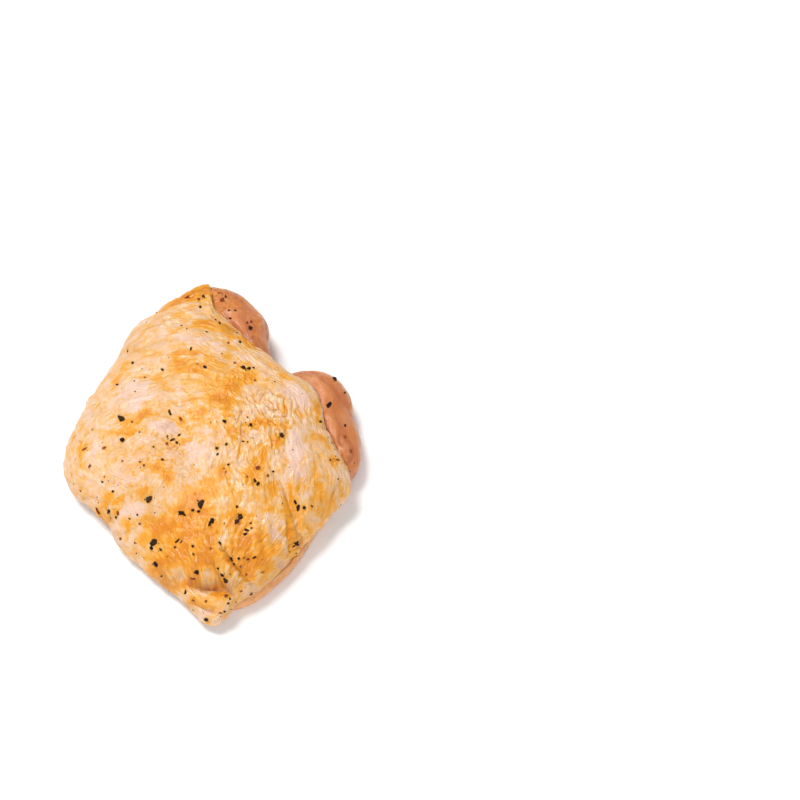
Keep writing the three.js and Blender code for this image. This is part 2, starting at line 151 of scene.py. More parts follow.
# The thick edge of meat past the skin: place and height of its core, and its bulge sideways and upwards
EDGE_ROLL = [
    (5, -62, 3, 3, 3), (12, -60, 4, 6, 4), (20, -54.5, 4.5, 6.5, 4.5), (28, -46, 5, 6.5, 5),
    (34, -37, 5.5, 5.5, 5.5), (39, -27, 6, 5.5, 6), (43, -16, 7, 7, 7), (46, -5, 8, 11.5, 8),
    (44, 6, 8.5, 13, 8.5), (42, 16, 8.5, 13, 8.5), (40, 25, 8.5, 12.5, 8.5), (34, 29, 8.5, 8, 8.5),
    (26, 30, 9, 5.5, 8), (18, 38, 9.5, 6, 9), (12.5, 48, 10, 9.5, 9.5), (9.5, 56.5, 10.5, 11.5, 9.5),
    (4.5, 65, 10.5, 10.2, 9), (-2, 70, 10, 8, 8.5), (-8, 69.5, 9, 6.5, 7.5),
]
# Seams between the muscles of that edge: place along it, half its width, how deep it bites, all as shares
ROLL_SEAMS = [(0.37, 0.014, 0.07), (0.5, 0.016, 0.035), (0.655, 0.02, 0.06), (0.86, 0.016, 0.03)]
ROLL_END = 0.05  # share of the edge's length that each end takes to round off

# Where the marinade and the colours of the skin lie
# Soft ovals: place, two reaches, turn in degrees, strength

MARINADE = [
    (-4, 72, 5, 3, 10, 1.2), (-14, 66, 6, 3, 28, 1.1), (-21, 61.5, 5, 1.6, 36, 0.8),
    (-10, 69, 4, 2.5, 25, 0.8), (-13, 57, 4, 1.4, -8, 0.5), (-1, 51, 7, 2.4, -8, 1.3),
    (14, 43, 3.6, 2.2, -42, 1.2), (6, 46, 3, 1.5, -30, 0.5), (-12, 31, 2.8, 3.6, 20, 1.2),
    (-7, 27, 6.5, 2, -4, 1.1), (-20.5, 24.5, 2.4, 1.8, 0, 0.9), (-10, 35.5, 9, 1, -3, 0.45),
    (-6, 20, 7, 2, 0, 0.4), (2, 30, 9, 8, 0, 0.3), (-24, 6.5, 5, 2.4, 18, 1.25),
    (-28.5, 0.5, 3.6, 2, 0, 1.1), (-9.3, 2.6, 1.8, 1.6, 0, 1), (-2, 5, 2.4, 3.6, 0, 0.7),
    (7, 13, 4, 5, -10, 1.1), (5, 9.5, 4.5, 2, 0, 0.7), (10, 19, 2.6, 4, 0, 1), (15, 24, 3.6, 2.6, 0, 1),
    (8, 5, 1.8, 4, -8, 0.8), (2, 20, 5, 6, 0, 0.35), (41.5, 12, 1.4, 4, 5, 0.9),
    (29, 26, 2.6, 1.6, -30, 0.7), (43, -2, 2.6, 2.2, 0, 0.7), (47, -11, 2, 2.4, 0, 0.7),
    (23, 0.5, 3.6, 2, -10, 1), (17, -1, 2.4, 1.8, 0, 0.9), (29, 8, 1.3, 2.4, 0, 0.8),
    (30.5, 0, 1.2, 2.6, 10, 0.8), (10, -5, 2, 3, 0, 0.9), (27, -8, 2.4, 2.2, 20, 0.9),
    (22, -13, 1.8, 3.6, -18, 1.1), (20, -21, 2.8, 4, 0, 1.1), (13.5, -14, 1, 3.4, 0, 0.7),
    (16, -24, 2.4, 3, 0, 0.6), (8, -22, 3, 2.4, 0, 0.8), (2.5, -25, 3, 2, 0, 0.8),
    (25.5, -27, 1.8, 3, 0, 0.9), (26.5, -34, 2, 1.6, 0, 0.7), (42, -21, 1.6, 4, 0, 0.5),
    (45, -26, 3, 2.6, 0, 0.6), (33, -27, 1, 3.2, 12, 0.8), (6, -29, 6, 1.8, 0, 0.8),
    (-2, -31, 3, 2, 0, 0.7), (-36, 29, 2, 1.6, 30, 0.5), (-33.5, 34, 1.3, 2.6, 0, 0.45),
    (-26, 38.5, 3, 1.4, 0, 0.45), (-25, 44, 2, 1.6, 0, 0.35), (-37, 2, 3, 1.6, 0, 0.55),
    (-47, -6, 1, 4.4, 0, 0.5), (-45.5, -13, 1.2, 3, 0, 0.5), (-51, -2, 1, 6, 0, 0.4),
    (-17, -17, 2.6, 3.4, 50, 0.8), (-13, -22, 2, 3, 30, 0.8), (-7.5, -6, 2.2, 1.6, 0, 0.7),
    (-22.5, -18, 2.2, 1.4, 0, 0.5), (-22, -26, 3, 1.8, 0, 0.5), (-35, -24.5, 2, 2.6, 0, 0.6),
    (-30, -27, 2, 1.8, 0, 0.5), (-39, -28, 6, 1.4, -20, 0.9), (-27, -38, 1, 2.6, 0, 0.5),
    (-20, -36, 2, 1.4, 0, 0.4), (-15, -41, 4.4, 3.4, 10, 1.9), (-4, -36, 5, 4.6, 0, 1.25),
    (-5, -45, 5, 4.6, 0, 1.4), (-11, -51.5, 8, 2.4, 8, 1.35), (2, -36, 2, 5, 0, 0.9),
    (4, -46, 2.5, 5, 0, 0.8), (1, -54, 6, 3.4, 0, 1.1), (13, -40, 3.6, 3, 0, 0.9),
    (15.5, -48, 3, 5, 0, 1.2), (22, -52.5, 4, 3, -10, 1.2), (18, -56, 4, 2.4, 0, 1),
    (20, -46, 4, 1.8, 0, 0.9), (11, -56, 2, 2.4, 0, 0.7), (27, -48, 3, 2, 0, 0.5),
    (31.8, -41, 1.1, 5, 6, 1.1), (14, -58.5, 2.4, 2, -40, 0.9), (6.5, -65.2, 3.4, 1.5, -4, 1),
    (-2, -66, 2.4, 1, -6, 0.7), (3, -67.8, 4, 1, -20, 0.6), (-6, -59.5, 6, 1.2, -8, 0.7),
    (0, -45, 26, 16, 0, 0.18), (36, -36, 12, 12, 0, 0.22), (-3, 4, 9, 9, 0, 0.25),
]
# Thin skin over meat
ROSE = [
    (-27, 22, 6.5, 4.5, -10, 1), (-25, 13, 7, 3.6, 6, 0.9), (-12, 14, 7, 3, 0, 0.5),
    (-7, 42, 9, 3.6, -6, 0.6), (6, 37, 9, 3, -22, 0.6), (17, 31, 6, 2.4, -38, 0.6), (31, 19, 6, 5, 0, 0.8),
    (36, 14, 3, 5, 0, 0.7), (34, -10, 4, 13, 4, 1), (-3, -12, 4.4, 8, 0, 1), (1, -3, 3, 3, 0, 0.6),
    (-25, -33, 5, 4, 0, 0.9), (-33.5, -38, 2, 5, 25, 0.7), (-27, -19, 4.5, 3.5, 0, 0.8),
    (-42, -6, 2.6, 3.4, 0, 0.8), (-15, 1, 5, 3.4, 10, 1), (11, -27, 1.2, 5, 0, 0.5),
    (27, -45, 3.4, 5, 0, 0.8), (2, -71.5, 4, 2.6, 0, 0.8), (-19, -43, 1.6, 4, 0, 0.6),
    (-6, 63, 3, 1.6, 0, 0.6), (-36, 18, 5, 6, 0, 0.4), (26.5, -40, 3, 3, 0, 0.6), (30, -52, 4, 3, 0, 0.5),
]
# Skin over a dark vein
LAVENDER = [
    (-14, 1, 4.6, 2.8, 10, 1), (2, -14, 1.6, 6, 0, 0.6), (34, -8, 1.4, 6, 0, 0.5),
    (35, -22, 1.2, 5, 0, 0.6), (-42, -6, 2, 2.6, 0, 0.4), (-11, -2, 2.4, 1.6, 0, 0.5),
]
# Brown painted shade: on the lower right side, which faces away from the light, and down in creases at the
# front and left
TAN_SHADE = [
    (28, -52, 4, 4, 0, 0.9), (40, -36, 5, 4, -40, 0.8), (26, -43, 2.4, 6, 0, 0.7), (-9, -56.5, 6, 2, -8, 1),
    (5, -60.8, 7, 1.8, -6, 1.5), (7, -59.5, 6, 1, -48, 0.8), (9, -71, 2.2, 2.4, 0, 0.8),
    (12, -66, 2.4, 2, 0, 0.9), (-39, -29, 5, 1.2, -30, 1), (23, -60, 5, 2, 30, 0.8),
    (46, -27, 4, 3, 0, 0.4), (0, 66, 2, 7, 0, 0.9), (-12, -3, 2, 1.6, 0, 0.6), (18, 36, 8, 2, -42, 0.35),
]
# Bare cream flakes and streaks, clear of marinade, which also carry pale painted highlights on raised flakes
# and folds
BARE_AND_HIGHLIGHT = [
    (20, 8, 2.6, 2.2, 0, 1), (16, 6.5, 2.2, 1.4, -40, 1), (25, 13, 3.6, 2.4, -30, 1),
    (24.5, 4.5, 3.4, 2.2, -30, 1), (14.5, 17, 1.2, 2.8, 30, 0.9), (28, 12, 2, 2, 0, 0.8),
    (31.5, 4, 1.2, 4.6, 14, 0.8), (34.5, 9, 1, 4, 14, 0.6), (19, 15, 2, 1.6, 0, 0.8),
    (16, 27, 0.7, 3, 8, 1), (13.5, 26.5, 0.7, 1.8, 0, 0.8), (16, -6, 2, 4, 0, 0.8),
    (21, -6, 1.6, 4, 0, 0.7), (24.5, -14, 1, 5, 8, 0.7), (12, -12, 0.9, 4, 0, 0.7), (33, -3, 1, 6, 10, 0.6),
    (-9, -25, 3, 3, 0, 0.7), (-12, -14, 3, 3.4, 0, 0.6), (-5, -12, 2, 5, 0, 0.5), (-19, -24, 3, 2, 0, 0.5),
    (11, -26, 1.2, 6, 0, 0.7), (15.5, -27, 1.2, 4, 0, 0.7), (1, -45, 1.8, 3.4, 0, 0.7),
    (9.5, -42, 1.3, 5, 8, 0.7), (6.5, -38, 1, 4, 0, 0.6), (-1.2, -54, 1, 1.8, 0, 0.9),
    (1.5, -53, 0.7, 2, -20, 0.9), (5.5, -33, 2, 1.6, 0, 0.6), (20.5, -39.5, 2.4, 2, 0, 0.7),
    (28, -36, 2, 4, 0, 0.5), (-4, -62.5, 3, 0.8, -8, 0.4), (9, -55.5, 5, 1.8, -46, 0.65),
    (14.5, -60.5, 4, 1.8, -42, 0.65), (-27, 56, 6, 3, 40, 0.5), (-15, 53.5, 6, 1.6, -6, 0.7),
    (-22, 34, 4, 3, 0, 0.6), (-33, 15, 5, 5, 0, 0.5), (34.8, -36.5, 0.9, 5, 12, 0.9),
    (-17.5, -36.8, 3, 1, 0, 0.4), (-38, -3, 4, 2, 0, 0.4), (-30, -14, 3, 3, 0, 0.4),
]

# Where the skin is cobbled rather than drawn into long wrinkles
FLAKES = [
    (22, 2, 11, 17, 0, 1), (-9, -18, 8, 9, 0, 0.7), (27, 10, 8, 8, 0, 0.6), (2, -49, 15, 11, 0, 0.8),
]

# Where the film dried to a rough crust
CRUST = [
    (-3, 70, 8, 6, 20, 1), (2, 61, 5, 5, -50, 0.9), (10, 49, 3, 6, 50, 0.6), (-16, 68, 6, 3, 20, 0.5),
    (7, -52, 8, 5, 0, 0.6),
]

# Cracked pepper: plan place, length, breadth, turn in degrees
LARGE_PEPPER = [
    (-32.5, 7.4, 3, 2.8, 0), (-13.8, 7.5, 2.4, 1.2, -10), (-1.7, 27, 1.8, 1.3, -40),
    (-18, 28.5, 1.7, 1.1, 60), (-7.5, 37, 1.4, 1, 0), (-5.5, 61, 1.1, 1, 0), (-4.5, 67.5, 2, 1.2, 10),
    (-12, 50, 0.8, 0.7, 0), (-30, 34, 1.1, 0.9, 0), (-35.5, 25, 1.9, 0.8, -80), (-33, 43, 1.6, 0.9, 70),
    (-23, 62.5, 0.9, 0.8, 0), (-2, 46, 0.9, 0.7, 0), (0.8, 55, 0.9, 0.7, 0), (-28, 5, 0.9, 0.7, 0),
    (2.5, 53, 1.3, 1.1, 0), (10.8, 43, 1.3, 1.1, 0), (9.3, 48.5, 0.9, 0.7, 20), (13, 28.5, 3.1, 1.7, -10),
    (15, 28.2, 1.6, 1.3, 0), (16.8, 29, 1.1, 0.9, 0), (17, -0.5, 1.8, 1, -30), (7.3, 0, 1.7, 1.2, 50),
    (28.5, -5, 1.9, 1.4, 0), (42.5, 7, 1.7, 0.9, -50), (-31, -2.8, 1.7, 1.4, 40), (-19, -8, 0.9, 0.8, 0),
    (-12.2, -5.5, 2.4, 1.3, -70), (-10.3, -6.8, 1.1, 0.9, 0), (-9.5, -3.5, 1.1, 0.9, 0),
    (-15, -15, 1.2, 0.9, 20), (-37.7, -19, 1, 0.8, 0), (-33.5, -23, 1, 0.9, 0), (-19.3, -30, 2.3, 2, 30),
    (-32, -32.5, 1.1, 0.9, 0), (-36.4, -30.5, 2, 1.3, -80), (-26.5, -35, 1, 0.5, 0),
    (-23.5, -34.5, 0.8, 0.7, 0), (-17, -45.2, 2.8, 1.8, 75), (-17.8, -46.8, 1.4, 1.2, 0),
    (-14.5, -48, 1.2, 1, 0), (-16.3, -51.3, 2.4, 1.5, -25), (-8, -46.5, 1.8, 0.8, 20),
    (-6.6, -47.2, 1.2, 0.6, -35), (-9, -48.5, 1, 0.7, 30), (-2.2, -49.5, 1.3, 1.1, 0),
    (-7, -36.6, 1.9, 1.5, 20), (-5.9, -37.4, 1.2, 1, 0), (-2.8, -36.2, 1.2, 0.9, 0),
    (0.2, -34.3, 2.9, 2.1, 80), (-0.6, -36.8, 1.1, 0.8, 0), (4.4, -40.2, 1.9, 1.3, 60),
    (3.4, -41.6, 1.6, 1.1, 20), (5, -12, 1.5, 1.2, 80), (8.6, -10.3, 1.5, 1.1, 60), (5.4, -14.5, 1, 0.9, 0),
    (14.5, -8.5, 0.9, 0.8, 0), (16.3, -8.8, 0.8, 0.6, 0), (9.5, -18.5, 0.9, 0.8, 0), (26, -20, 0.9, 0.7, 0),
    (19.6, -24.6, 1.8, 1.1, -50), (20.6, -26.2, 1.5, 1, -60), (34, -29.8, 1.7, 1.3, -40),
    (35.3, -31.8, 2.1, 1.3, -65), (37.3, -31.3, 1.3, 1.1, 0), (40, -30, 0.9, 0.9, 0),
    (13.2, -35, 0.9, 0.8, 0), (14.6, -38.4, 2, 1.7, 40), (13, -40.2, 2.1, 1.5, 55),
    (18.3, -40.5, 0.9, 0.8, 0), (16.9, -43.2, 1.4, 1.1, 0), (16.4, -44.7, 1.4, 1, 30),
    (7.5, -49, 1.3, 1.2, 0), (11.6, -53.6, 1.7, 1.2, -60), (12.6, -55.2, 1.4, 1, -60),
    (14.3, -53.5, 1, 0.9, 0), (19.8, -52.3, 1.3, 0.9, 30), (7, -57.5, 0.9, 0.8, 0),
    (8.6, -59.6, 1.5, 1, -20), (9.9, -60.7, 1.9, 1.4, -50), (-0.5, -57.5, 2.1, 1.5, -20),
    (35, -42.3, 1, 0.8, 0), (34, -44.5, 1.5, 0.6, -20), (46.5, -11, 0.9, 0.7, 0), (-5, -63, 1.6, 1.2, -25),
    (2.7, -73.2, 1.7, 1.1, -25), (11.2, -65.8, 1, 0.7, 80), (9.5, -71, 0.9, 0.7, 0), (10.8, -68, 1, 0.8, 0),
    (-14.8, -57, 1.2, 0.7, 60), (47.2, 30.9, 2.3, 1.7, -20), (45.4, 17, 2.6, 1.9, -10),
    (51.6, 8.3, 1.1, 0.9, 0), (5.6, 60.7, 1.1, 0.8, 60), (8.2, 60.8, 1, 0.9, 0), (6.2, 56.8, 1.2, 0.7, 70),
    (14.5, 52.4, 1.9, 1.4, 60), (12.9, 54.6, 0.9, 0.7, 0), (35.4, -44.2, 2.4, 1.1, -60),
    (3.9, 68, 1.3, 1, 0), (51.3, 25, 0.9, 0.8, 0),
]
# Red and brown bits of spice: plan place, length, breadth, turn
SPICE = [
    (-31.2, -31.8, 2, 0.9, -60), (-41, -27.6, 2.6, 1, -25), (20.3, -19.3, 1.5, 1.3, 0),
    (-38, -5, 1.4, 1, 0), (-45.5, -4, 2.2, 0.8, 80), (-14, -7, 1.3, 1.1, 0), (-43, -12, 1.4, 1, 0),
    (-14, -3.5, 1, 0.9, 0), (-24.5, -1, 1.3, 0.8, 70), (-9.5, 4, 1.4, 1.1, 0), (-24.5, 26, 1.1, 0.8, 30),
    (-6.5, 66, 1.7, 1, 60), (-11.5, 67.5, 2, 1, -50), (9.5, 30.5, 1.3, 1, 0), (6.5, 41.5, 1, 0.8, 0),
    (4.5, 35, 0.7, 0.6, 0), (17.5, 22.5, 0.9, 0.7, 0), (-23.5, -13.5, 1.4, 1, 30), (-22, -15.5, 1, 0.9, 0),
    (-30.5, -12, 0.8, 0.7, 0), (-37, -17.5, 0.9, 0.5, -60), (-22.5, -37.5, 0.9, 0.8, 0),
    (-24.5, -43, 1.4, 0.6, 80), (-24.5, -47, 0.9, 0.5, 80), (-30.3, -39.5, 1.2, 0.8, 60),
    (8, -20, 0.7, 0.6, 0), (8.7, -21.3, 0.7, 0.6, 0), (16.5, -23.3, 0.8, 0.6, 0), (24, -22, 1, 0.8, 30),
    (18.5, -42.3, 0.9, 0.8, 0), (16.2, -53, 1.2, 0.6, 0), (17.6, -53.2, 1.3, 0.8, -20),
    (4.3, -51, 1.4, 0.9, -30), (-2, -52.3, 1, 0.9, 0), (15, -55.8, 1, 0.7, 30), (17, -58, 0.8, 0.6, 0),
    (23, -56, 1.3, 0.5, 0), (9.8, -65, 1.4, 0.9, -30), (2.7, -67, 1, 0.9, 0), (8.3, -70.3, 1.9, 0.6, -10),
    (-2, -59, 2.2, 0.7, -8), (-2, -66, 1.2, 0.9, 0), (19, -64.2, 1.6, 0.9, 30),
    (15.3, -63.5, 1.3, 0.5, -10), (49, -9.6, 2, 0.8, -70), (49.5, -17.5, 0.8, 0.7, 0),
    (-4.5, 28.5, 1, 0.7, 0), (1.5, 70, 1.6, 1, -20), (14.4, 55.4, 1.2, 0.9, 0), (2.6, 66.3, 1.8, 1.2, 0),
    (51.7, 2.9, 1.2, 0.9, 0), (54, -2.9, 1.6, 1, 0),
]


# Forms

NOISE_CELLS = 256  # cells before the noise repeats
NOISE_GAIN = 1.7  # brings the noise up to about -1 to 1
SECTION_STEPS = 2000  # in the tables of the skin's section
SECTION_HEIGHT = 0.25  # of the skin's section by its plan reach
RAGGED = ((71, 13, 0.5), (72, 34, 0.3))  # of the skin's rim: seed, lumps in a radian, height in millimetres
RAGGED_FADE = 12  # how fast that fades inwards


def smoothstep(low, high, value):
    """0 at low, 1 at high, and a smooth way between. Low may be the larger."""
    share = np.clip((value - low) / (high - low), 0, 1)
    return share * share * (3 - 2 * share)


def smooth_line(points, steps, closed):
    """Points of a smooth line through the given ones, an equal number on each span."""
    knots = np.array(points, float)
    if not closed:
        knots = np.vstack([2 * knots[0] - knots[1], knots, 2 * knots[-1] - knots[-2]])
    share = np.arange(steps)[:, None] / steps
    spans = []
    count = len(knots)
    for i in range(count) if closed else range(1, count - 2):
        before, start, end, after = (knots[j % count] for j in range(i - 1, i + 3))
        leave, arrive = (end - before) / 2, (after - start) / 2
        bend = 3 * (end - start) - 2 * leave - arrive
        twist = 2 * (start - end) + leave + arrive
        spans.append(start + leave * share + bend * share**2 + twist * share**3)
    if not closed:
        spans.append(knots[-2:-1])
    return np.concatenate(spans)


class Outline:
    """A closed outline that every ray from the plan's origin crosses once."""

    span_steps, samples = 24, 3600
    sharp_from = 0.78  # share of the way out where the outline's own corners start to show

    def __init__(self, points):
        line = smooth_line(points, self.span_steps, True)
        bearing = np.arctan2(line[:, 1], line[:, 0])
        self.bearing = np.linspace(-math.pi, math.pi, self.samples, endpoint=False)
        reach = np.interp(self.bearing, bearing, np.hypot(line[:, 0], line[:, 1]), period=2 * math.pi)
        height = np.interp(self.bearing, bearing, line[:, 2], period=2 * math.pi)
        turn = np.minimum(self.bearing + math.pi, math.pi - self.bearing)
        soft = np.fft.rfft(np.exp(-((turn / SOFTENING) ** 2)))
        soft /= soft[0]
        self.sharp = np.stack([reach, height])
        self.soft = np.fft.irfft(np.fft.rfft(self.sharp) * soft, len(reach))

    def at(self, bearing, share=1.0):
        """Reach and height at the rim, or of the softer outline that rules at a share of the way out."""
        pull = smoothstep(self.sharp_from, 1, share)
        return tuple(
            np.interp(bearing, self.bearing, soft, period=2 * math.pi) * (1 - pull)
            + np.interp(bearing, self.bearing, sharp, period=2 * math.pi) * pull
            for soft, sharp in zip(self.soft, self.sharp)
        )


skin_rim = Outline(SKIN_RIM)
meat_rim = Outline(MEAT_RIM)


def near_line(x, y, line):
    """Distance to a line of points, share of the way along it, and the way there, for arrays of places."""
    distance = np.full(x.shape, np.inf)
    along, way = np.zeros(x.shape), np.zeros((2, *x.shape))
    for i, (start, end) in enumerate(zip(line, line[1:])):
        dx, dy = end[0] - start[0], end[1] - start[1]
        share = np.clip(((x - start[0]) * dx + (y - start[1]) * dy) / (dx * dx + dy * dy), 0, 1)
        off = np.stack([start[0] + share * dx - x, start[1] + share * dy - y])
        reach = np.hypot(*off)
        nearer = reach < distance
        distance = np.where(nearer, reach, distance)
        along = np.where(nearer, (i + share) / (len(line) - 1), along)
        way = np.where(nearer, off / np.maximum(reach, 1e-6), way)
    return distance, along, way


def fold_fade(along):
    """Strength of a fold at a share of its line: full in the middle and weaker at its ends."""
    return smoothstep(-0.15, 0.25, along) * (1 - smoothstep(0.8, 1.2, along))


def ovals(x, y, spots):
    """Sum of soft oval spots over arrays of places."""
    total = np.zeros(x.shape)
    for at_x, at_y, reach, breadth, turn, strength in spots:
        cos, sin = math.cos(math.radians(turn)), math.sin(math.radians(turn))
        run = ((x - at_x) * cos + (y - at_y) * sin) / reach
        off = ((y - at_y) * cos - (x - at_x) * sin) / breadth
        total += strength * np.exp(-(run**2) - off**2)
    return total


def grain(seed, size, *coordinates):
    """Smooth noise from about -1 to 1, in lumps of a size, at arrays of up to three coordinates."""
    unused = [np.zeros_like(coordinates[0])] * (3 - len(coordinates))
    places = np.stack([*coordinates, *unused], axis=1) / size
    draw = np.random.default_rng(seed)
    order = draw.permutation(NOISE_CELLS)
    leans = draw.normal(size=(NOISE_CELLS, 3))
    leans /= np.linalg.norm(leans, axis=1, keepdims=True)
    cell = np.floor(places).astype(int)
    part = places - cell
    ease = part**3 * (part * (part * 6 - 15) + 10)
    total = np.zeros(len(places))
    for corner in itertools.product((0, 1), repeat=3):
        x, y, z = ((cell + corner) % NOISE_CELLS).T
        lean = leans[order[(order[(order[x] + y) % NOISE_CELLS] + z) % NOISE_CELLS]]
        weight = np.prod(np.where(corner, ease, 1 - ease), axis=1)
        total += weight * ((part - corner) * lean).sum(axis=1)
    return NOISE_GAIN * total


def layered(layers, *coordinates):
    """Sum of noises, each given as its seed, the size of its lumps and its height."""
    return sum(height * grain(seed, size, *coordinates) for seed, size, height in layers)


def skin_top(x, y):
    """The skin's top before it turns down to its rim, with its creases drawn sharp."""
    height = np.full(x.shape, float(CROWN_HEIGHT))
    for (at_x, at_y), (reach_x, reach_y), rise in SWELLS:
        height += rise * np.exp(-(((x - at_x) / reach_x) ** 2) - ((y - at_y) / reach_y) ** 2)
    for line, width, rise, _ in FOLDS + FINE_FOLDS:
        distance, along, _ = near_line(x, y, line)
        soft = np.exp(-((distance / width) ** 2))
        sharp = np.exp(-distance / (SHARP_WIDTH * width))
        crease = (1 - SHARP_SHARE) * soft + SHARP_SHARE * sharp
        height += rise * fold_fade(along) * (soft if rise > 0 else crease)
    for (way_x, way_y), length, rise in WAVES:
        run, sway = way_x * x + way_y * y, way_y * x - way_x * y
        height += rise * np.sin(2 * math.pi * (run + WAVE_SWAY * np.sin(sway / SWAY_LENGTH)) / length)
    return height


def even_arc():
    """Tables that turn an even share along the skin's section into plan share and height share."""
    angle = np.linspace(0, math.pi / 2, SECTION_STEPS)
    share = np.sin(angle) ** (2 / EDGE_POWER)
    level = np.cos(angle)
    arc = np.concatenate([[0], np.cumsum(np.hypot(np.diff(share), SECTION_HEIGHT * np.diff(level)))])
    return arc / arc[-1], share, level


ARC, ARC_SHARE, ARC_LEVEL = even_arc()


def skin_face(along, bearing):
    """The skin's outer face: an array of points, from a share along its section and a bearing."""
    share, level = np.interp(along, ARC, ARC_SHARE), np.interp(along, ARC, ARC_LEVEL)
    reach, rim_height = skin_rim.at(bearing, share)
    cos, sin = np.cos(bearing), np.sin(bearing)
    ragged = sum(height * grain(seed, 1, fine * cos, fine * sin) for seed, fine, height in RAGGED)
    reach = reach + ragged * share**RAGGED_FADE
    x, y = share * reach * cos, share * reach * sin
    z = rim_height + (np.maximum(skin_top(x, y), rim_height) - rim_height) * level
    return np.stack([x, y, z], axis=1)


def face_normals(face, along, bearing):
    """Normals of a face given by a rule, by small steps along its section and round it."""
    step = 1e-3
    outward = face(np.minimum(along + step, 1), bearing) - face(np.maximum(along - step, 0), bearing)
    turned = step / np.maximum(along, 0.02)
    round_ = face(along, bearing + turned) - face(along, bearing - turned)
    normal = np.cross(outward, round_)
    length = np.linalg.norm(normal, axis=1, keepdims=True)
    return np.where(length > 1e-9, normal / np.maximum(length, 1e-9), (0, 0, 1))


# Meshes


def angles(way):
    """The angle down from the top, and the bearing, of an array of directions."""
    return np.arccos(np.clip(way[:, 2], -1, 1)), np.arctan2(way[:, 1], way[:, 0])


def ball(cuts):
    """A bmesh ball of even quads, and for its vertices the angle down from the top and the bearing."""
    shape = bmesh.new()
    bmesh.ops.create_cube(shape, size=2)
    bmesh.ops.subdivide_edges(shape, edges=shape.edges[:], cuts=cuts, use_grid_fill=True)
    places = np.array([v.co for v in shape.verts])
    places = np.tan(places * math.pi / 4)
    return shape, *angles(places / np.linalg.norm(places, axis=1, keepdims=True))


def move_vertices(shape, places):
    """Moves the vertices of a bmesh to an array of places."""
    for vertex, place in zip(shape.verts, places):
        vertex.co = place


def read_vertices(mesh, what):
    """An array of a mesh's places, as co, or of its smooth normals, as normal."""
    values = np.empty(len(mesh.vertices) * 3)
    mesh.vertices.foreach_get(what, values)
    return values.reshape(-1, 3)


def write_places(mesh, places):
    """Moves a mesh's vertices to an array of places."""
    mesh.vertices.foreach_set("co", np.ascontiguousarray(places, dtype=float).ravel())
    mesh.update()


def finished_places(places):
    """Turns working millimetres into finished metres."""
    return (places - (*MIDDLE, 0)) * MM


def store(mesh, name, values):
    """Writes a number for each vertex, which the materials read."""
    layer = mesh.attributes.new(name, "FLOAT", "POINT")
    layer.data.foreach_set("value", np.clip(values, -4, 4).astype(np.float32))


def store_flow(mesh, name, across, along):
    """Writes a place across and along the grain for each vertex, which the materials read."""
    layer = mesh.attributes.new(name, "FLOAT_VECTOR", "POINT")
    values = np.stack([across, along, np.zeros_like(along)], axis=1)
    layer.data.foreach_set("vector", values.astype(np.float32).ravel())


def new_object(name, shape, material, context):
    """A finished piece from a bmesh: smooth, in the scene, with its one material."""
    mesh = bpy.data.meshes.new(name)
    shape.to_mesh(mesh)
    shape.free()
    mesh.polygons.foreach_set("use_smooth", [True] * len(mesh.polygons))
    mesh.materials.append(material)
    piece = bpy.data.objects.new(name, mesh)
    context.scene.collection.objects.link(piece)
    return piece


def finish_piece(piece, node):
    """Rides the piece on the steak, in place of a solid."""
    if len(piece.data.polygons) == 0:
        raise RuntimeError(f"{piece.name} has no faces")
    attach(piece, "root")
    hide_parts(node)


# Materials

NOISE_MIDDLE = 0.5  # of a noise node
WARP_SCALE = 1.7  # of the noise that bends cells out of true
WET = {"IOR": 1.4, "Specular_IOR_Level": 0.25, "Subsurface_Weight": 0.35}  # what skin and meat share


